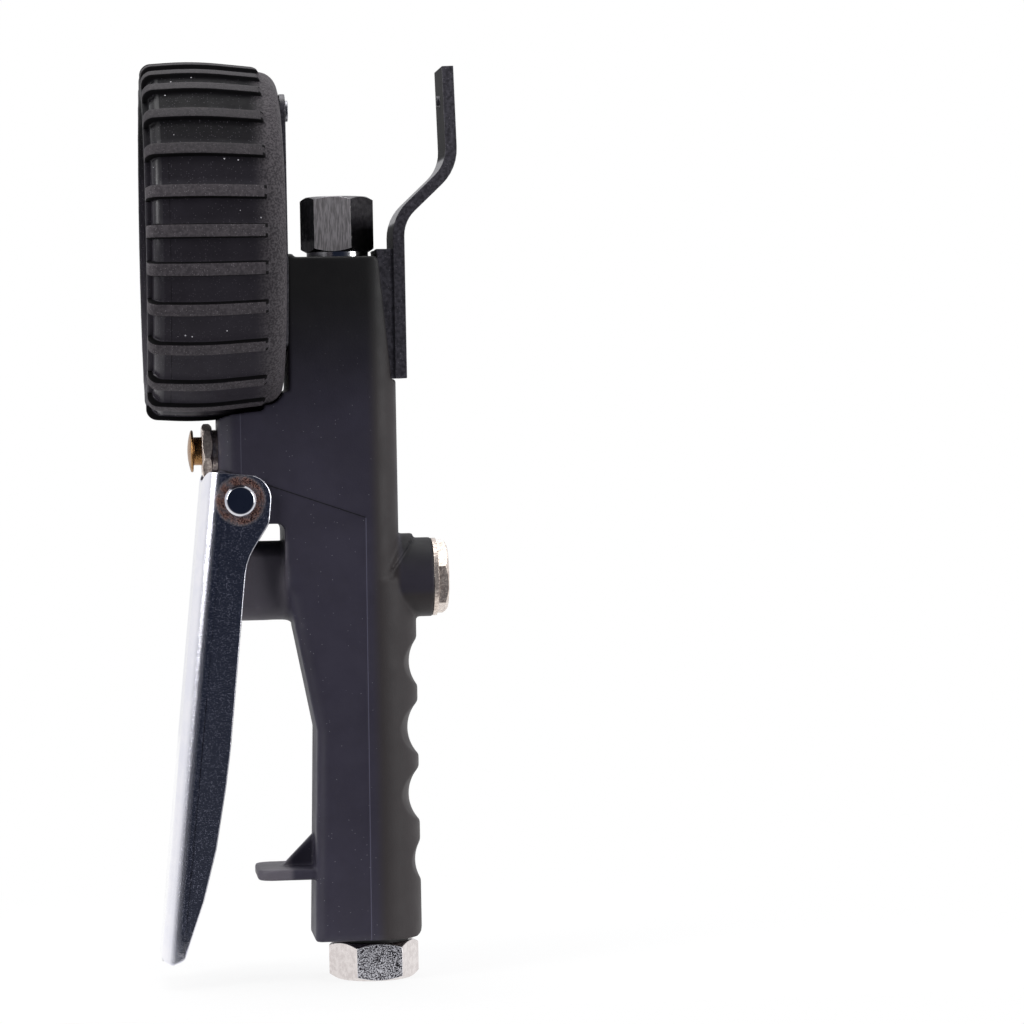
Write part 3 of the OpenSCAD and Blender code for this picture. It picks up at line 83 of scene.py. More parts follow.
class Tree:
    """Small helper that adds and joins shader nodes."""

    def __init__(self, tree, coord="Object"):
        self.tree = tree
        self.shader = tree.nodes.get("Principled BSDF")
        self.coord = self.add("ShaderNodeTexCoord").outputs[coord]

    def add(self, kind, **values):
        node = self.tree.nodes.new(kind)
        for name, value in values.items():
            setattr(node, name, value)
        return node

    def join(self, a, b):
        self.tree.links.new(a, b)

    def noise(self, scale, detail=2.0, rough=0.5, stretch=(1, 1, 1)):
        mapping = self.add("ShaderNodeMapping")
        mapping.inputs["Scale"].default_value = stretch
        self.join(self.coord, mapping.inputs["Vector"])
        node = self.add("ShaderNodeTexNoise")
        node.inputs["Scale"].default_value = scale
        node.inputs["Detail"].default_value = detail
        node.inputs["Roughness"].default_value = rough
        self.join(mapping.outputs["Vector"], node.inputs["Vector"])
        return node.outputs["Fac"]

    def ranged(self, value, low, high, to_low=0.0, to_high=1.0):
        """Eases from to_low to to_high while the value goes from low to high."""
        node = self.add("ShaderNodeMapRange", interpolation_type="SMOOTHSTEP")
        node.inputs["From Min"].default_value = low
        node.inputs["From Max"].default_value = high
        node.inputs["To Min"].default_value = to_low
        node.inputs["To Max"].default_value = to_high
        self.join(value, node.inputs["Value"])
        return node.outputs["Result"]

    def mixed(self, fac, a, b):
        """Colour a where fac is 0 and b where it is 1. Either may be a plain colour."""
        node = self.add("ShaderNodeMix", data_type="RGBA")
        self.join(fac, node.inputs["Factor"])
        for index, value in ((6, a), (7, b)):  # sockets of the colours
            if isinstance(value, tuple):
                node.inputs[index].default_value = value
            else:
                self.join(value, node.inputs[index])
        return node.outputs[2]

    def blended(self, fac, a, b):
        """Number a where fac is 0 and b where it is 1. The second one may be a plain number."""
        node = self.add("ShaderNodeMix")
        self.join(fac, node.inputs[0])
        self.join(a, node.inputs[2])
        if isinstance(b, float):
            node.inputs[3].default_value = b
        else:
            self.join(b, node.inputs[3])
        return node.outputs[0]

    def combined(self, operation, a, b):
        node = self.add("ShaderNodeMath", operation=operation)
        self.join(a, node.inputs[0])
        self.join(b, node.inputs[1])
        return node.outputs[0]

    def times(self, a, b):
        return self.combined("MULTIPLY", a, b)

    def larger(self, a, b):
        return self.combined("MAXIMUM", a, b)

    def size_of(self, value):
        """The value without its sign."""
        node = self.add("ShaderNodeMath", operation="ABSOLUTE")
        self.join(value, node.inputs[0])
        return node.outputs[0]

    def parts(self, vector=None):
        """The x, y and z of a vector, or of the place on the object."""
        node = self.add("ShaderNodeSeparateXYZ")
        self.join(self.coord if vector is None else vector, node.inputs[0])
        return node.outputs["X"], node.outputs["Y"], node.outputs["Z"]

    def facing(self):
        """The x, y and z of the surface's direction on the object."""
        return self.parts(self.add("ShaderNodeTexCoord").outputs["Normal"])

    def along(self, a, b, factor, offset):
        """b + factor * a + offset"""
        scaled = self.add("ShaderNodeMath", operation="MULTIPLY_ADD")
        self.join(a, scaled.inputs[0])
        scaled.inputs[1].default_value = factor
        scaled.inputs[2].default_value = offset
        return self.combined("ADD", scaled.outputs[0], b)

    def band(self, value, half):
        """1 where the value is close to zero, 0 beyond the half width."""
        return self.ranged(self.size_of(value), 0.6 * half, half, 1.0, 0.0)

    def sideways(self):
        """How far the surface faces the object's left or right side, from 0 to 1."""
        return self.size_of(self.facing()[1])

    def dots(self, scale, radius, share):
        """Round specks: radius in cells of the given scale, on a share of the cells."""
        cells = self.add("ShaderNodeTexVoronoi")
        cells.inputs["Scale"].default_value = scale
        self.join(self.coord, cells.inputs["Vector"])
        pick = self.add("ShaderNodeSeparateColor")
        self.join(cells.outputs["Color"], pick.inputs[0])
        near = self.ranged(cells.outputs["Distance"], 0.8 * radius, radius, 1.0, 0.0)
        return self.times(near, self.ranged(pick.outputs[0], 1 - share, 1.001 - share))

    def bump(self, height, strength, distance):
        node = self.add("ShaderNodeBump")
        node.inputs["Strength"].default_value = strength
        node.inputs["Distance"].default_value = distance
        self.join(height, node.inputs["Height"])
        return node.outputs["Normal"]


def tree_of(material):
    material.use_nodes = True
    return Tree(material.node_tree)


def surface(name, colour, other, rough, grain, blotch, metal=0.0, specks=None, specular=0.5):
    """A finished surface: two close colours in blotches, fine grain and specks.

    rough is the lowest and highest roughness, grain the scale, strength and height in metres of the
    fine relief, blotch the scale of the blotches, and specks their scale, radius, share and colour.
    """
    material = bpy.data.materials.new(name)
    t = tree_of(material)
    shader = t.shader.inputs
    shader["Metallic"].default_value = metal
    shader["Specular IOR Level"].default_value = specular
    base = t.mixed(t.ranged(t.noise(blotch, 4, 0.6), 0.35, 0.65), colour, other)
    if specks:
        scale, radius, share, speck_colour = specks
        base = t.mixed(t.dots(scale, radius, share), base, speck_colour)
    t.join(base, shader["Base Color"])
    t.join(t.ranged(t.noise(blotch * 3, 3, 0.6), 0.3, 0.7, *rough), shader["Roughness"])
    scale, strength, height = grain
    t.join(t.bump(t.noise(scale, 2.0, 0.6), strength, height), shader["Normal"])
    return material


M = {
    "body": surface(
        "body_coating", rgb(50, 47, 60), rgb(55, 52, 66), (0.5, 0.58), blotch=60,
        grain=(2800, 0.5, 0.00005), specks=(1300, 0.15, 0.1, rgb(118, 116, 124)), specular=0.32,
    ),
    "rubber": surface(
        "boot_rubber", rgb(34, 31, 37), rgb(45, 42, 49), (0.5, 0.62), blotch=90,
        grain=(2400, 0.6, 0.00006), specular=0.08,
    ),
    "rib": surface(
        "boot_rib_rubber", rgb(56, 52, 56), rgb(76, 71, 75), (0.6, 0.75), blotch=1300,
        grain=(2200, 1.0, 0.00008), specks=(1900, 0.28, 0.45, rgb(102, 97, 101)), specular=0.3,
    ),
    "corner": surface(
        "boot_corner_rubber", rgb(34, 31, 37), rgb(45, 42, 49), (0.2, 0.28), blotch=90,
        grain=(2200, 0.4, 0.00004), specular=0.28,
    ),
    # Painted shade: the ribs' flanks are near black, the shade of the crevices beside the ribs.
    "rib_side_shade": surface(
        "boot_rib_sides", rgb(9, 8, 10), rgb(13, 12, 14), (0.7, 0.8), blotch=300,
        grain=(2200, 0.4, 0.00006), specular=0.1,
    ),
    "chrome": surface(
        "pin_chrome", rgb(214, 214, 220), rgb(200, 201, 210), (0.05, 0.09), metal=1.0, blotch=140,
        grain=(1800, 0.15, 0.00001), specks=(1300, 0.15, 0.2, rgb(120, 120, 130)),
    ),
    "warm_nickel": surface(
        "plug_nickel", rgb(244, 230, 218), rgb(196, 181, 172), (0.16, 0.24), metal=0.72,
        blotch=1300, grain=(1700, 1.0, 0.00014),
    ),
    "old_brass": surface(
        "button_brass", rgb(170, 130, 84), rgb(146, 108, 68), (0.2, 0.34), metal=1.0, blotch=700,
        grain=(2200, 1.0, 0.00009),
    ),
    "bright_steel": surface(
        "washer_steel", rgb(226, 226, 228), rgb(212, 212, 215), (0.12, 0.2), metal=1.0, blotch=300,
        grain=(1800, 0.2, 0.00003),
    ),
    "steel": surface(
        "turned_steel", rgb(176, 176, 180), rgb(150, 150, 155), (0.22, 0.34), metal=1.0, blotch=300,
        grain=(1800, 0.2, 0.00004),
    ),
    "dark_steel": surface(
        "dark_steel", rgb(96, 95, 98), rgb(78, 77, 80), (0.3, 0.42), metal=1.0, blotch=300,
        grain=(1800, 0.2, 0.00004),
    ),
    "black_steel": surface(
        "hook_coating", rgb(48, 46, 51), rgb(78, 76, 83), (0.28, 0.38), blotch=1100,
        grain=(2600, 0.7, 0.00006), specks=(1700, 0.22, 0.25, rgb(112, 110, 118)),
    ),
    "brass": surface(
        "inner_brass", rgb(222, 182, 118), rgb(204, 162, 98), (0.16, 0.28), metal=1.0, blotch=260,
        grain=(2400, 0.6, 0.00005),
    ),
    "case": surface(
        "case_steel", rgb(70, 70, 74), rgb(60, 60, 64), (0.35, 0.5), metal=0.6, blotch=120,
        grain=(1800, 0.2, 0.00004),
    ),
    "dial": surface(
        "dial_white", rgb(236, 236, 232), rgb(230, 230, 226), (0.45, 0.55), blotch=50,
        grain=(1500, 0.08, 0.00002),
    ),
    "ink": surface(
        "dial_ink", rgb(24, 24, 26), rgb(30, 30, 33), (0.4, 0.5), blotch=200,
        grain=(1500, 0.08, 0.00002),
    ),
    "seal": surface(
        "seal_rubber", rgb(20, 20, 21), rgb(26, 26, 27), (0.5, 0.65), blotch=200,
        grain=(2000, 0.25, 0.00005),
    ),
    "gauze": surface(
        "gauze_bronze", rgb(190, 160, 106), rgb(160, 132, 84), (0.35, 0.5), metal=1.0, blotch=2200,
        grain=(3000, 0.5, 0.0001),
    ),
}


def lens_glass():
    """Clear lens: its own gloss, and light that passes to the dial."""
    material = bpy.data.materials.new("lens_glass")
    t = tree_of(material)
    shader = t.shader.inputs
    shader["Base Color"].default_value = (1, 1, 1, 1)
    shader["Transmission Weight"].default_value = 1.0
    shader["IOR"].default_value = 1.45
    t.join(t.ranged(t.noise(90, 3), 0.4, 0.6, 0.0, 0.03), shader["Roughness"])
    clear = t.add("ShaderNodeBsdfTransparent")
    mix = t.add("ShaderNodeMixShader")
    t.join(t.add("ShaderNodeLightPath").outputs["Is Shadow Ray"], mix.inputs[0])
    t.join(t.shader.outputs[0], mix.inputs[1])
    t.join(clear.outputs[0], mix.inputs[2])
    t.join(mix.outputs[0], t.tree.nodes["Material Output"].inputs["Surface"])
    return material


M["lens"] = lens_glass()

# Witness lines of the casting in the side view: a slanting one, and an upright one behind the
# grip's flat. Each falls or leans by its FALL for a metre of the other direction.
SLANT_TOP = 0.1317
SLANT_X = -0.0244
SLANT_FALL = 0.353
UPRIGHT_X = -0.0009
UPRIGHT_Z = 0.1234
UPRIGHT_FALL = 0.0055


def cast_coating(material):
    """Browner rear as a painted reflection, navy on the barrel, painted shade on the head's top and over the
    barrel, painted light under the lever, a painted highlight line on the nose, and the witness lines in painted
    shade and highlight.
    """
    t = tree_of(material)
    x, _, z = t.parts()
    base = t.shader.inputs["Base Color"]
    colour = base.links[0].from_socket

    def past(value, low, high):
        """1 beyond the two places in millimetres."""
        return t.ranged(value, low * MM, high * MM)

    def until(value, low, high):
        """1 before the two places in millimetres."""
        return t.ranged(value, low * MM, high * MM, 1.0, 0.0)

    # Painted reflection: the rounded rear is browner, the warm tone it shows from its surroundings.
    colour = t.mixed(past(x, -0.5, 3), colour, rgb(50, 45, 46))
    on_barrel = t.times(t.times(past(x, 7, 9), past(z, 102, 104)), until(z, 137, 139))
    colour = t.mixed(on_barrel, colour, rgb(47, 44, 54))
    # Painted shade: the groove where the top of the barrel meets the head is darkened.
    barrel_top_shade = t.times(t.times(past(x, 8.4, 9.4), past(z, 106, 116)), until(z, 125, 127))
    colour = t.mixed(barrel_top_shade, colour, rgb(22, 21, 25))
    # Painted shade: the head darkens to near black towards its top.
    colour = t.mixed(past(z, 148, 186), colour, rgb(24, 23, 24))
    # Painted light: the body's front under the lever, the barrel's front among it, is made paler to lift the shade
    # there.
    under_lever_painted_light = t.times(until(x, -23, -21), until(z, 117, 118))
    colour = t.mixed(under_lever_painted_light, colour, rgb(98, 94, 102))
    # Painted highlight: a pale bluish line on the nose where its corner starts to round.
    nose_highlight_line = t.times(past(x, -33.7, -33.5), until(x, -33.5, -33.3))
    colour = t.mixed(t.times(nose_highlight_line, past(z, 133.5, 134.5)), colour, rgb(78, 76, 90))
    below = t.along(x, z, SLANT_FALL, -SLANT_TOP - SLANT_X * SLANT_FALL)
    before = t.along(z, x, -UPRIGHT_FALL, -UPRIGHT_X + UPRIGHT_Z * UPRIGHT_FALL)
    # The witness lines are painted as light and shade: a dark line of groove shade on the slanting one and a pale
    # highlight on the upright one.
    slant_line_shade = t.times(t.band(below, 0.16 * MM), until(before, -0.1, 0.0))
    upright_line_highlight = t.times(t.band(before, 0.14 * MM), until(below, -0.1, 0.0))
    colour = t.mixed(slant_line_shade, colour, rgb(14, 13, 18))
    colour = t.mixed(upright_line_highlight, colour, rgb(84, 82, 100))
    t.join(colour, base)


cast_coating(M["body"])


def aged_rubber(material):
    """Paler behind the ribs, painted shade from a paler bottom to a black top, with dust and a parting line."""
    t = tree_of(material)
    x, _, z = t.parts()
    base = t.shader.inputs["Base Color"]
    pale = t.mixed(t.ranged(t.noise(1900, 2), 0.4, 0.6), rgb(58, 55, 58), rgb(86, 82, 85))
    # Painted shade: the rubber between the ribs darkens from the bottom towards the top.
    low = t.mixed(t.ranged(z, 150 * MM, 220 * MM), rgb(57, 54, 60), rgb(30, 28, 33))
    sunk = t.mixed(t.ranged(t.noise(140, 3), 0.2, 0.8, 0.5, 0.8), base.links[0].from_socket, low)
    # Painted shade: near the top it turns almost black.
    sunk = t.mixed(t.ranged(z, 211 * MM, 228 * MM, 0.0, 0.85), sunk, rgb(7, 7, 8))
    line_front = t.ranged(x, -51.9 * MM, -51.75 * MM)
    line = t.times(line_front, t.ranged(x, -51.7 * MM, -51.55 * MM, 1.0, 0.0))
    broken = t.times(line, t.ranged(t.noise(300, 2), 0.3, 0.7, 0.2, 0.8))
    sunk = t.mixed(broken, sunk, rgb(14, 13, 15))
    sunk = t.mixed(t.dots(2100, 0.26, 0.3), sunk, rgb(74, 71, 77))
    sunk = t.mixed(t.dots(560, 0.13, 0.09), sunk, rgb(206, 204, 210))
    t.join(t.mixed(t.ranged(x, -31 * MM, -25 * MM), sunk, pale), base)


aged_rubber(M["rubber"])
aged_rubber(M["corner"])


def dark_top(material, low, high, share, dark):
    """Painted shade: colour that gets darker between two heights in millimetres."""
    t = tree_of(material)
    base = t.shader.inputs["Base Color"]
    height = t.ranged(t.parts()[2], low * MM, high * MM, 0.0, share)
    t.join(t.mixed(height, base.links[0].from_socket, dark), base)


# Painted shade: the ribs darken towards the boot's top.
dark_top(M["rib"], 205, 226, 0.6, rgb(22, 20, 22))


def fading_gloss(material, start, end):
    """Gloss that fades into the dull rubber's roughness between two places in millimetres."""
    t = tree_of(material)
    rough = t.shader.inputs["Roughness"]
    fade = t.ranged(t.parts()[0], start * MM, end * MM)
    dull = t.ranged(t.noise(90, 3), 0.3, 0.7, 0.5, 0.62)
    t.join(t.blended(fade, rough.links[0].from_socket, dull), rough)


fading_gloss(M["corner"], -55.2, -53.4)


def dark_face(material):
    """Painted shade: coating made black and dull on the faces that look to the front."""
    t = tree_of(material)
    facing = t.ranged(t.facing()[0], -0.985, -0.95, 1.0, 0.0)
    base, rough = t.shader.inputs["Base Color"], t.shader.inputs["Roughness"]
    t.join(t.mixed(facing, base.links[0].from_socket, rgb(12, 11, 14)), base)
    t.join(t.blended(facing, rough.links[0].from_socket, 1.0), rough)


# Painted shade on the front faces of the hook, its block and the gauge bracket.
dark_face(M["black_steel"])


def flat_nickel(name, sides, fronts, rough, front_metal, stretch, spread):
    """Nut plating: painted reflection in streaks on the flats that face sideways, and a painted highlight on the
    bevels beside them.

    sides are the two colours of the other flats and fronts those of the sideways ones, rough the
    roughness of both, front_metal how metallic the sideways ones are, and stretch and spread the
    shape and softness of their lines.
    """
    material = bpy.data.materials.new(name)
    t = tree_of(material)
    shader = t.shader.inputs
    sideways = t.sideways()
    # Painted reflection on the flats that face sideways, and a painted highlight on the bevels beside them.
    painted_reflection_flats = t.ranged(sideways, 0.92, 0.96)
    corner = t.times(t.ranged(sideways, 0.68, 0.74), t.ranged(sideways, 0.92, 0.96, 1.0, 0.0))
    lines = t.noise(3000, 2.0, 0.6, stretch)
    front = t.mixed(t.ranged(lines, 0.5 - spread, 0.5 + spread), *fronts)
    side = t.mixed(t.ranged(t.noise(700, 3), 0.35, 0.65), *sides)
    flats = t.mixed(painted_reflection_flats, side, front)
    t.join(t.mixed(corner, flats, rgb(238, 236, 239)), shader["Base Color"])
    t.join(t.ranged(t.larger(painted_reflection_flats, corner), 0.0, 1.0, 1.0, front_metal), shader["Metallic"])
    t.join(t.ranged(painted_reflection_flats, 0.0, 1.0, *rough), shader["Roughness"])
    t.join(t.bump(lines, 1.0, 0.00006), shader["Normal"])
    return material


M["nickel"] = flat_nickel(
    "nut_nickel", sides=(rgb(228, 221, 219), rgb(212, 204, 202)),
    fronts=(rgb(20, 19, 26), rgb(206, 205, 212)),
    rough=(0.1, 0.2), front_metal=0.75, stretch=(1, 1, 1), spread=0.07,
)
M["dark_nickel"] = flat_nickel(
    "outlet_nickel", sides=(rgb(128, 126, 128), rgb(98, 96, 99)),
    fronts=(rgb(166, 161, 162), rgb(222, 217, 218)),
    rough=(0.14, 0.34), front_metal=0.35, stretch=(1, 1, 0.1), spread=0.12,
)


def lever_chrome(pivot):
    """Polished plating, speckled on the flanges, and rubbed dull in a ring round the pin's head."""
    material = bpy.data.materials.new("lever_chrome")
    t = tree_of(material)
    shader = t.shader.inputs
    x, _, z = t.parts()
    flat = t.add("ShaderNodeCombineXYZ")
    t.join(x, flat.inputs["X"])
    t.join(z, flat.inputs["Z"])
    away = t.add("ShaderNodeVectorMath", operation="DISTANCE")
    t.join(flat.outputs[0], away.inputs[0])
    away.inputs[1].default_value = (pivot.x, 0, pivot.z)
    disc = t.ranged(away.outputs["Value"], 5.9 * MM, 7.2 * MM, 1.0, 0.0)
    rubbed = t.times(disc, t.ranged(t.noise(500, 2), 0.3, 0.6, 0.6, 1.0))
    cloud = t.ranged(t.noise(140, 4, 0.6), 0.35, 0.65)
    plate = t.mixed(cloud, rgb(250, 249, 253), rgb(243, 243, 250))
    flange = t.ranged(t.sideways(), 0.6, 0.9)
    specks = t.times(t.larger(t.dots(2900, 0.34, 0.5), t.dots(1500, 0.16, 0.4)), flange)
    plate = t.mixed(specks, t.mixed(flange, plate, rgb(214, 214, 222)), rgb(206, 208, 230))
    dull = t.mixed(t.ranged(t.noise(3600, 2), 0.4, 0.62), rgb(40, 24, 26), rgb(190, 146, 134))
    t.join(t.mixed(rubbed, plate, dull), shader["Base Color"])
    t.join(t.ranged(rubbed, 0.0, 1.0, 0.06, 0.3), shader["Roughness"])
    pitted = t.ranged(specks, 0.0, 1.0, 1.0, 0.76)
    t.join(t.times(pitted, t.ranged(rubbed, 0.0, 1.0, 1.0, 0.6)), shader["Metallic"])
    orange_peel = t.noise(2900, 2.0, 0.6)
    t.join(t.bump(orange_peel, 1.0, 0.00004), shader["Normal"])
    return material


squeeze = next(joint for joint in frame["joints"] if joint["name"] == "lever_squeeze")
M["lever"] = lever_chrome(Vector(squeeze["pos_m"]))

# --- Mesh helpers -------------------------------------------------------------------------


def finish_piece(obj, body, material):
    obj.data.materials.clear()
    obj.data.materials.append(material)
    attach(obj, body)


def piece_from(name, bm, smooth=40.0):
    """A new object from a bmesh, shaded smooth below the given angle."""
    mesh = bpy.data.meshes.new(name)
    bm.to_mesh(mesh)
    bm.free()
    obj = bpy.data.objects.new(name, mesh)
    scene.collection.objects.link(obj)
    shade(obj, smooth)
    return obj


def shade(obj, angle):
    """Smooth shading, with the edges sharper than the angle in degrees kept sharp."""
    mesh = obj.data
    if mesh.attributes.get("custom_normal"):
        mesh.attributes.remove(mesh.attributes["custom_normal"])
    mesh.polygons.foreach_set("use_smooth", [True] * len(mesh.polygons))
    bm = bmesh.new()
    bm.from_mesh(mesh)
    limit = math.radians(angle)
    for edge in bm.edges:
        edge.smooth = len(edge.link_faces) == 2 and edge.calc_face_angle(math.pi) < limit
    bm.to_mesh(mesh)
    bm.free()


def apply_all(obj):
    """Bakes the object's modifiers into its mesh."""
    evaluated = obj.evaluated_get(bpy.context.evaluated_depsgraph_get())
    mesh = bpy.data.meshes.new_from_object(evaluated)
    obj.modifiers.clear()
    old = obj.data
    obj.data = mesh
    bpy.data.meshes.remove(old)


def copy_of(node, name):
    """A welded copy of a CAD node's mesh as a new object."""
    bm = bmesh.new()
    bm.from_mesh(nodes_of[node].data)
    bmesh.ops.remove_doubles(bm, verts=bm.verts, dist=1e-7)
    bmesh.ops.recalc_face_normals(bm, faces=bm.faces)
    return piece_from(name, bm)


def softened(node, width, segments, clamp):
    """A copy of a CAD node with its sharp edges rounded to a width in millimetres."""
    obj = copy_of(node, node + "_soft")
    bm = bmesh.new()
    bm.from_mesh(obj.data)
    bmesh.ops.dissolve_limit(bm, angle_limit=math.radians(0.6), verts=bm.verts, edges=bm.edges)
    bm.to_mesh(obj.data)
    bm.free()
    bevel = obj.modifiers.new("bevel", "BEVEL")
    bevel.width = width * MM
    bevel.segments = segments
    bevel.limit_method = "ANGLE"
    bevel.use_clamp_overlap = clamp
    bevel.angle_limit = math.radians(28)
    apply_all(obj)
    shade(obj, 42)
    weighted = obj.modifiers.new("weighted", "WEIGHTED_NORMAL")
    weighted.keep_sharp = True
    apply_all(obj)
    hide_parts(node)
    return obj


def dress(node, material):
    """A CAD node that is shown as it is, with a finished material."""
    obj = nodes_of[node]
    obj.data.materials.clear()
    obj.data.materials.append(material)


def remeshed(node, voxel, passes, name):
    """A copy of a CAD node with all its edges softly rounded, on voxels in millimetres."""
    obj = copy_of(node, name)
    remesh = obj.modifiers.new("remesh", "REMESH")
    remesh.mode = "VOXEL"
    remesh.voxel_size = voxel * MM
    apply_all(obj)
    smooth = obj.modifiers.new("smooth", "SMOOTH")
    smooth.factor = 0.5
    smooth.iterations = passes
    apply_all(obj)
    shade(obj, 180)
    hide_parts(node)
    return obj


# --- Gun body -----------------------------------------------------------------------------

body = remeshed("gun_body", 0.45, 3, "body_casting")
half_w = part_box("gun_body")[1].y
# Step at the witness lines, and the side view's x and z of the shoulder over the grip
STEP = 0.3 * MM
FRONT_SHOULDER = (-0.0215, 0.1033)


def on_grip_side(x, z):
    """True in the grip's front: under the slanting witness line and before the upright one."""
    slant = SLANT_TOP - (x - SLANT_X) * SLANT_FALL
    return z < slant and x < UPRIGHT_X - (UPRIGHT_Z - z) * UPRIGHT_FALL


for vertex in body.data.vertices:
    if on_grip_side(vertex.co.x, vertex.co.z):
        vertex.co.y *= 1 - STEP / half_w


def smooth_near(obj, centre, reach, passes):
    """Evens out the mesh round a point (x, z) of the side view."""
    bm = bmesh.new()
    bm.from_mesh(obj.data)
    near = [v for v in bm.verts if math.hypot(v.co.x - centre[0], v.co.z - centre[1]) < reach]
    for _ in range(passes):
        bmesh.ops.smooth_vert(
            bm, verts=near, factor=0.5, use_axis_x=True, use_axis_y=True, use_axis_z=True
        )
    bm.to_mesh(obj.data)
    bm.free()


smooth_near(body, FRONT_SHOULDER, 9 * MM, 40)
finish_piece(body, "gun", M["body"])

# --- Rubber boot --------------------------------------------------------------------------

boot_low, boot_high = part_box("gauge_boot")
BOOT_R = (boot_high.z - boot_low.z) / 2 / MM
BOOT_FRONT = boot_low.x / MM
BOOT_BACK = boot_high.x / MM
gauge_z = (boot_high.z + boot_low.z) / 2
# Height of a rib in millimetres, and the ribs' middles in degrees up from the horizontal, the same
# on both sides
RIB_H = 1.3
RIB_ANGLES = (-90, -69.5, -54.7, -38.1, -23.9, -10.9, 1.1, 13.7, 28, 42.2, 56.1, 67, 77.5, 90)
# Share of the height across a rib, by degrees from its middle
RIB_SHAPE = (
    (0, 1), (1.0, 1), (1.7, 0.99), (1.9, 0.96), (2.05, 0.87),
    (2.15, 0.7), (2.24, 0.42), (2.34, 0.16), (2.6, 0),
)
# Steps of the front edge's arc, and where it starts in the boot's section
ARC_STEPS = 10
ARC_START = 10
# Materials of the boot, and the places of those that not every face has
LOOKS = ("rubber", "rib", "rib_side_shade", "corner")
RIB_TOP, RIB_SIDE, CORNER = 1, 2, 3


def arc(centre, radius, start, end, steps):
    """Points [radius, x] on an arc; angle 0 faces the front and 90 outwards."""
    out = []
    for i in range(steps + 1):
        a = math.radians(start + (end - start) * i / steps)
        out.append((centre[0] + radius * math.sin(a), centre[1] - radius * math.cos(a)))
    return out


def along_line(p, q, shares):
    """Points at the given shares of the way from p to q."""
    return [(p[0] + (q[0] - p[0]) * t, p[1] + (q[1] - p[1]) * t) for t in shares]


def crown(radius, front, edge, first):
    """Outline of the boot, in millimetres, from its front edge over the crown to its rear edge.

    edge is the radius of the front edge and first the angle at which its arc starts.
    """
    length = BOOT_BACK - front
    corner = (radius - 0.9, front)
    top = (radius, front + 0.39 * length)
    rear = (radius - 2.3, BOOT_BACK)
    lean_1 = math.degrees(math.atan2(top[0] - corner[0], top[1] - corner[1]))
    lean_2 = math.degrees(math.atan2(rear[0] - top[0], rear[1] - top[1]))
    cut_1 = edge * math.tan(math.radians((90 - lean_1) / 2))
    front_arc = arc((corner[0] - cut_1, front + edge), edge, first, 90 - lean_1, ARC_STEPS)
    bend = 7.1  # half length of the bow over the crown's top
    u = Vector((corner[0] - top[0], corner[1] - top[1])).normalized()
    v = Vector((rear[0] - top[0], rear[1] - top[1])).normalized()
    a = (top[0] + u.x * bend, top[1] + u.y * bend)
    b = (top[0] + v.x * bend, top[1] + v.y * bend)
    bow = [
        tuple((1 - t) ** 2 * a[k] + 2 * t * (1 - t) * top[k] + t * t * b[k] for k in (0, 1))
        for t in (i / 8 for i in range(9))
    ]
    rear_edge = 5.0
    cut_2 = rear_edge * math.tan(math.radians((90 + lean_2) / 2))
    centre = (rear[0] - cut_2, BOOT_BACK - rear_edge)
    rear_arc = arc(centre, rear_edge, 90 - lean_2, 180, 9)
    points = list(front_arc)
    points += along_line(front_arc[-1], bow[0], (0.12, 0.3, 0.5, 0.7, 0.85))
    points += bow
    points += along_line(bow[-1], rear_arc[0], (0.25, 0.5, 0.7, 0.82, 0.88, 0.92, 0.95, 0.98))
    return points, rear_arc


def boot_loops():
    """The boot's closed section between ribs and on a rib, and the rib's share at each point."""
    shell, rear_arc = crown(BOOT_R - RIB_H, BOOT_FRONT + RIB_H, 3.2, 31)
    crest, _ = crown(BOOT_R, BOOT_FRONT, 3.0, 8)
    window = 38.6  # radius of the opening over the dial
    ring = 43.3  # radius of the front ring that the ribs start from
    start = [
        (window, -55.4), (window, BOOT_FRONT + 0.5), (window + 0.15, BOOT_FRONT + 0.15),
        (window + 0.5, BOOT_FRONT), (window + 2.5, BOOT_FRONT), (ring - 0.9, BOOT_FRONT),
    ]
    step = [
        (ring - 0.4, BOOT_FRONT + 0.03), (ring - 0.1, BOOT_FRONT + 0.2),
        (ring, BOOT_FRONT + 0.6), (ring + 0.02, BOOT_FRONT + 1.4),
    ]
    rise = [(ring - 0.8 + 0.1 * i, BOOT_FRONT + 0.002 * i) for i in range(4)]
    end = [
        (24.0, BOOT_BACK), (24.0, -24.6), (40.8, -24.6),
        (40.8, -43.9), (41.8, -43.9), (41.8, -55.4),
    ]
    base = start + step + shell + rear_arc + end
    ribs = start + rise + crest + rear_arc + end
    run_out = [0.93, 0.75, 0.4, 0.1]  # a rib's rear end
    share = [0.0] * len(start) + [1.0] * (len(rise) + len(crest) - len(run_out)) + run_out
    share += [0.0] * (len(rear_arc) + len(end))
    return base, ribs, share


def boot_turns():
    """Angles in degrees round the boot, from +Y, with the height share of a rib at each."""
    middles = sorted({side % 360 for a in RIB_ANGLES for side in (a, 180 - a)})
    turns = []
    for k, middle in enumerate(middles):
        turns += [(middle - a, h) for a, h in reversed(RIB_SHAPE[1:])]
        turns += [(middle + a, h) for a, h in RIB_SHAPE]
        reach = RIB_SHAPE[-1][0]
        space = (middles[(k + 1) % len(middles)] - middle) % 360 - 2 * reach
        turns += [(middle + reach + space * i / 4, 0) for i in (1, 2, 3)]
    return turns


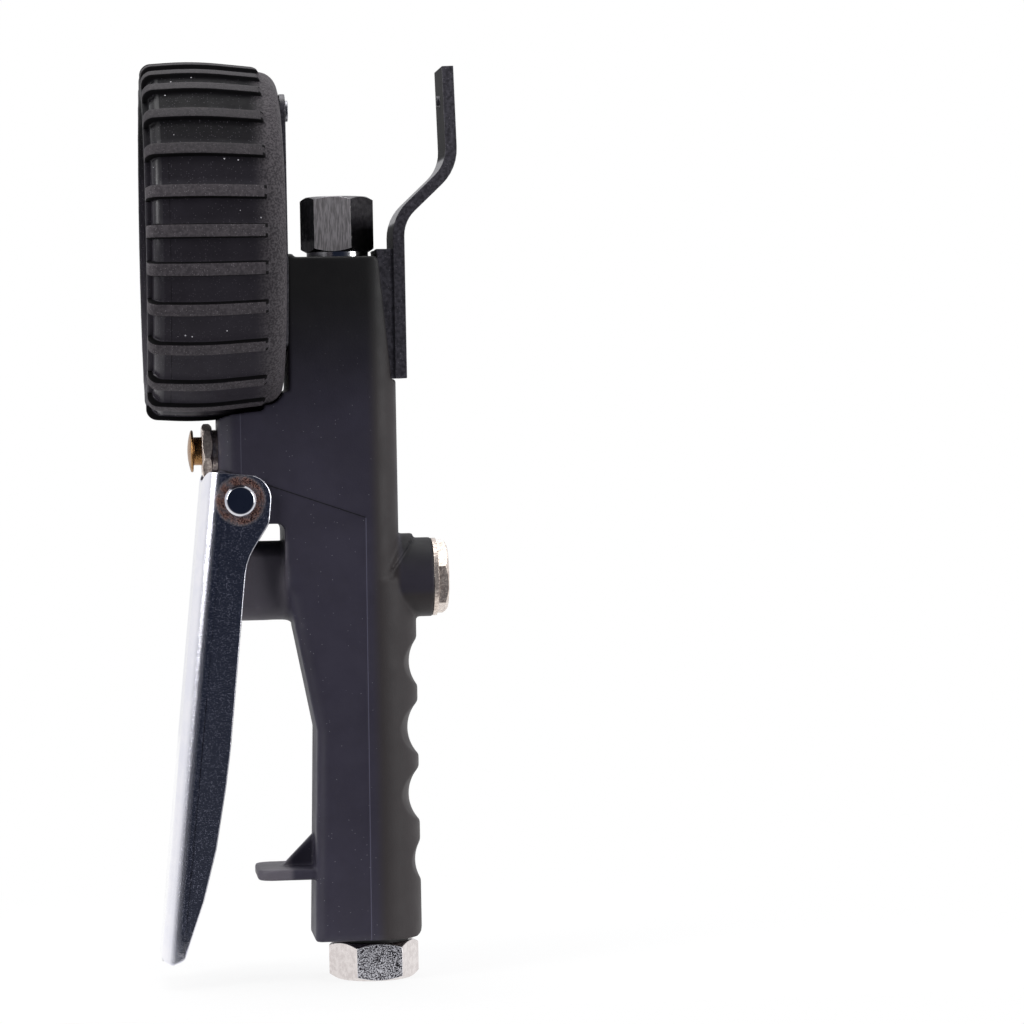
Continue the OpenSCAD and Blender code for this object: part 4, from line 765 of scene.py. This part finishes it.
def rubber_boot():
    """The boot with its ribs: the section swept round the gauge, taller where a rib is."""
    base, ribs, share = boot_loops()
    turns = boot_turns()
    bm = bmesh.new()
    rings = []
    for angle, height in turns:
        y, z = math.cos(math.radians(angle)), math.sin(math.radians(angle))
        row = []
        for p, q, h in zip(base, ribs, share):
            w = h * height
            r = (p[0] + (q[0] - p[0]) * w) * MM
            x = (p[1] + (q[1] - p[1]) * w) * MM
            inside_box = max(boot_low.y, min(boot_high.y, r * y))
            row.append(bm.verts.new((x, inside_box, gauge_z + r * z)))
        rings.append(row)
    n = len(base)
    front_edge = range(ARC_START, ARC_START + ARC_STEPS)
    for k, row in enumerate(rings):
        nxt = rings[(k + 1) % len(rings)]
        heights = (turns[k][1], turns[(k + 1) % len(turns)][1])
        for i in range(n):
            j = (i + 1) % n
            face = bm.faces.new((row[i], row[j], nxt[j], nxt[i]))
            here = (share[i] + share[j]) / 2
            if min(heights) * here > 0.9:
                face.material_index = RIB_TOP
            # The ribs' flanks take the near-black painted crevice shade.
            elif max(heights) * here > 0.3 and heights[0] != heights[1]:
                face.material_index = RIB_SIDE
            elif max(heights) < 0.5 and i in front_edge:
                face.material_index = CORNER
    bmesh.ops.recalc_face_normals(bm, faces=bm.faces)
    return piece_from("boot_moulding", bm, 50)


boot = rubber_boot()
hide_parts("gauge_boot")
for look in LOOKS:
    boot.data.materials.append(M[look])
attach(boot, "gun")

# --- Dial and threads ---------------------------------------------------------------------

dial_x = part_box("gauge_dial")[0].x
NEEDLE_START = -135
NEEDLE_SWEEP = 270
TOP_READING = 160


def on_dial(radius, angle, rise):
    """A point over the dial, at an angle clockwise from the top. Lengths are in millimetres."""
    a = math.radians(angle)
    across, up = -radius * MM * math.sin(a), radius * MM * math.cos(a)
    return Vector((dial_x - rise * MM, across, gauge_z + up))


def dial_marks():
    """Printed scale: an arc and ticks, a hair's breadth above the dial."""
    bm = bmesh.new()

    def patch(r0, r1, a0, a1, steps=1):
        for i in range(steps):
            b0 = a0 + (a1 - a0) * i / steps
            b1 = a0 + (a1 - a0) * (i + 1) / steps
            corners = ((r0, b0), (r1, b0), (r1, b1), (r0, b1))
            low = [bm.verts.new(on_dial(r, b, 0.02)) for r, b in corners]
            high = [bm.verts.new(on_dial(r, b, 0.06)) for r, b in corners]
            bm.faces.new(high)
            bm.faces.new(low[::-1])
            for k in range(4):
                bm.faces.new((low[k], low[(k + 1) % 4], high[(k + 1) % 4], high[k]))

    patch(35.4, 35.8, NEEDLE_START, NEEDLE_START + NEEDLE_SWEEP, 90)
    for i in range(0, TOP_READING + 1, 2):
        angle = NEEDLE_START + NEEDLE_SWEEP * i / TOP_READING
        inner, wide = 33.8, 0.24
        if i % 20 == 0:
            inner, wide = 30.6, 0.55
        elif i % 10 == 0:
            inner, wide = 32.4, 0.4
        patch(inner, 35.4, angle - wide, angle + wide)
    bmesh.ops.recalc_face_normals(bm, faces=bm.faces)
    return piece_from("dial_scale", bm, 30)


def dial_number(reading):
    """A printed number of the scale, as a flat mesh that faces the front."""
    curve = bpy.data.curves.new(f"number_{reading}", "FONT")
    curve.body = str(reading)
    curve.size = 5.4 * MM
    curve.align_x = "CENTER"
    curve.align_y = "CENTER"
    curve.extrude = 0.02 * MM
    text = bpy.data.objects.new(f"number_{reading}_text", curve)
    scene.collection.objects.link(text)
    bpy.context.view_layer.update()
    evaluated = text.evaluated_get(bpy.context.evaluated_depsgraph_get())
    mesh = bpy.data.meshes.new_from_object(evaluated)
    bpy.data.objects.remove(text)
    place = on_dial(25.6, NEEDLE_START + NEEDLE_SWEEP * reading / TOP_READING, 0.04)
    facing = Matrix(((0, 0, -1), (-1, 0, 0), (0, 1, 0))).to_4x4()
    mesh.transform(Matrix.Translation(place) @ facing)
    number = bpy.data.objects.new(f"number_{reading}", mesh)
    scene.collection.objects.link(number)
    return number


finish_piece(dial_marks(), "gun", M["ink"])
for reading in range(0, TOP_READING + 1, 20):
    finish_piece(dial_number(reading), "gun", M["ink"])


def thread(name, x, z0, z1, radius, material):
    """Ridge of a female thread, wound inside a port."""
    pitch = 1.34 * MM
    depth = 0.4 * MM
    buried = radius + 0.05 * MM
    per_turn = 40
    bm = bmesh.new()
    count = int((z1 - z0 - pitch) / pitch * per_turn)
    rows = []
    for i in range(count + 1):
        a = 2 * math.pi * i / per_turn
        z = z0 + pitch * (0.5 + i / per_turn)
        crest = radius - depth * min(1.0, i / per_turn, (count - i) / per_turn)
        row = []
        for r, up in ((buried, -0.42), (crest, -0.06), (crest, 0.06), (buried, 0.42)):
            row.append(bm.verts.new((x + r * math.cos(a), r * math.sin(a), z + up * pitch)))
        rows.append(row)
    for row, nxt in zip(rows, rows[1:]):
        for k in range(4):
            bm.faces.new((row[k], row[(k + 1) % 4], nxt[(k + 1) % 4], nxt[k]))
    bm.faces.new(rows[0][::-1])
    bm.faces.new(rows[-1])
    bmesh.ops.recalc_face_normals(bm, faces=bm.faces)
    finish_piece(piece_from(name, bm, 35), "gun", material)


# Radius of the ports, and how far inside its mouth a thread starts and ends
PORT_R = 5.9 * MM
THREAD_START = 0.8 * MM
THREAD_END = 11.4 * MM
outlet_low, outlet_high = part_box("outlet_fitting")
outlet_x = (outlet_low.x + outlet_high.x) / 2
mouth_z = outlet_high.z
thread("inlet_thread", 0, THREAD_START, THREAD_END, PORT_R, M["nickel"])
thread(
    "outlet_thread", outlet_x, mouth_z - THREAD_END, mouth_z - THREAD_START, PORT_R,
    M["dark_nickel"],
)

# --- Softened metal parts -----------------------------------------------------------------

# Node, width of its rounded edges in millimetres, segments, material and slot
SOFT = [
    ("lever", 0.45, 3, "lever", "chrome"),
    ("inlet_fitting", 0.35, 3, "nickel", "nickel"),
    ("outlet_fitting", 0.35, 3, "dark_nickel", "nickel"),
    ("valve_plug", 0.3, 3, "warm_nickel", "nickel"),
    ("bleed_valve_body", 0.3, 3, "warm_nickel", "nickel"),
    ("bleed_button", 0.3, 3, "old_brass", "brass"),
    ("lever_pin", 0.25, 3, "chrome", "chrome"),
    ("retaining_clip", 0.15, 2, "dark_steel", "dark_steel"),
    ("hook", 0.9, 4, "black_steel", "black_steel"),
    ("hook_block", 0.5, 3, "black_steel", "black_steel"),
    ("gauge_bracket", 0.3, 2, "black_steel", "black_steel"),
    ("gauge_screws", 0.2, 2, "steel", "steel"),
    ("hook_screws", 0.2, 2, "dark_steel", "dark_steel"),
    ("stem_gland", 0.25, 2, "brass", "brass"),
    ("gauge_bezel", 0.3, 2, "case", "case_steel"),
]
for node, width, segments, look, slot in SOFT:
    # On the lever the narrowest facets would hold the width of all its edges down
    piece = softened(node, width, segments, clamp=node != "lever")
    finish_piece(piece, node_body[node], M[look])

# --- Parts that are shown as the CAD makes them -------------------------------------------

PLAIN = {
    "inlet_seal": ("seal", "rubber"),
    "inlet_filter": ("gauze", "brass"),
    "outlet_seal": ("bright_steel", "steel"),
    "plug_seal": ("seal", "rubber"),
    "valve_seat": ("brass", "brass"),
    "valve_spring": ("steel", "steel"),
    "valve_stem": ("steel", "steel"),
    "valve_pad": ("seal", "rubber"),
    "stem_seal": ("seal", "rubber"),
    "bleed_spring": ("steel", "steel"),
    "bleed_poppet": ("seal", "rubber"),
    "bracket_screws": ("steel", "steel"),
    "gauge_case": ("case", "case_steel"),
    "lens_gasket": ("seal", "rubber"),
    "gauge_dial": ("dial", "dial_white"),
    "gauge_pointer": ("ink", "pointer_black"),
    "gauge_socket": ("brass", "brass"),
    "bourdon_tube": ("brass", "brass"),
    "tube_link": ("steel", "steel"),
    "movement_frame": ("brass", "brass"),
    "sector_gear": ("brass", "brass"),
    "hairspring": ("steel", "steel"),
    "gauge_lens": ("lens", "lens_clear"),
}
for node, (look, slot) in PLAIN.items():
    dress(node, M[look])

# --- Studio -------------------------------------------------------------------------------

# Half width of the floor, and its front and back edges
FLOOR_X = 0.6
FLOOR_FRONT = -0.06
FLOOR_BACK = 0.8


def floor_material():
    """Pale floor: white in view and in gloss towards its edges, and it keeps the shadow."""
    material = bpy.data.materials.new("floor_white")
    t = tree_of(material)
    t.shader.inputs["Base Color"].default_value = (0.86, 0.86, 0.86, 1)
    t.shader.inputs["Roughness"].default_value = 0.8
    t.shader.inputs["Specular IOR Level"].default_value = 0.1
    away = t.add("ShaderNodeVectorMath", operation="LENGTH")
    t.join(t.coord, away.inputs[0])
    glow = t.ranged(away.outputs["Value"], 0.05, 0.22, 0.86, 1.0)
    path = t.add("ShaderNodeLightPath").outputs
    seen = t.larger(path["Is Camera Ray"], path["Is Glossy Ray"])
    seen = t.larger(seen, path["Is Transmission Ray"])
    light = t.add("ShaderNodeEmission")
    light.inputs["Strength"].default_value = 1.0
    mix = t.add("ShaderNodeMixShader")
    t.join(t.times(seen, glow), mix.inputs[0])
    t.join(t.shader.outputs[0], mix.inputs[1])
    t.join(light.outputs[0], mix.inputs[2])
    t.join(mix.outputs[0], t.tree.nodes["Material Output"].inputs["Surface"])
    return material


bm = bmesh.new()
bmesh.ops.create_grid(bm, x_segments=8, y_segments=8, size=1)
for vertex in bm.verts:
    vertex.co.x *= FLOOR_X
    vertex.co.y = FLOOR_FRONT + (FLOOR_BACK - FLOOR_FRONT) * (vertex.co.y + 1) / 2
floor = piece_from("floor", bm)
floor.data.materials.append(floor_material())

world = bpy.data.worlds.new("studio")
scene.world = world
world.use_nodes = True
world.node_tree.nodes.clear()
room = Tree(world.node_tree, "Generated")
_, side, height = room.parts()
# Behind the camera the room is dark, a little less so below the horizon
ahead = room.ranged(side, -0.93, -0.1, 1.0, 0.0)
dark = room.times(ahead, room.ranged(height, -0.15, -0.05, 0.955, 1.0))
walls = room.mixed(dark, (0.86, 0.86, 0.88, 1), (0.012, 0.016, 0.03, 1))
path = room.add("ShaderNodeLightPath").outputs
seen = room.larger(path["Is Camera Ray"], path["Is Transmission Ray"])
ground = room.add("ShaderNodeBackground")
room.join(room.mixed(seen, walls, (1, 1, 1, 1)), ground.inputs["Color"])
ground.inputs["Strength"].default_value = 1.0
room.join(ground.outputs[0], room.add("ShaderNodeOutputWorld").inputs["Surface"])


def softbox(name, place, target, size, energy):
    """A lamp of the given size in metres at a place, turned to the target."""
    data = bpy.data.lights.new(name, "AREA")
    data.shape = "RECTANGLE"
    data.size, data.size_y = size
    data.energy = energy
    lamp = bpy.data.objects.new(name, data)
    lamp.location = place
    lamp.rotation_euler = (Vector(target) - Vector(place)).to_track_quat("-Z", "Y").to_euler()
    scene.collection.objects.link(lamp)


softbox("lamp_left", (-0.95, -0.55, 0.6), (0, 0, 0.12), (0.4, 0.8), 7.0)
softbox("lamp_right", (0.95, -0.6, 0.35), (0, 0, 0.12), (0.4, 0.8), 6.0)
softbox("lamp_top", (-0.1, 0.1, 1.1), (0, 0, 0.1), (0.8, 0.8), 5.0)
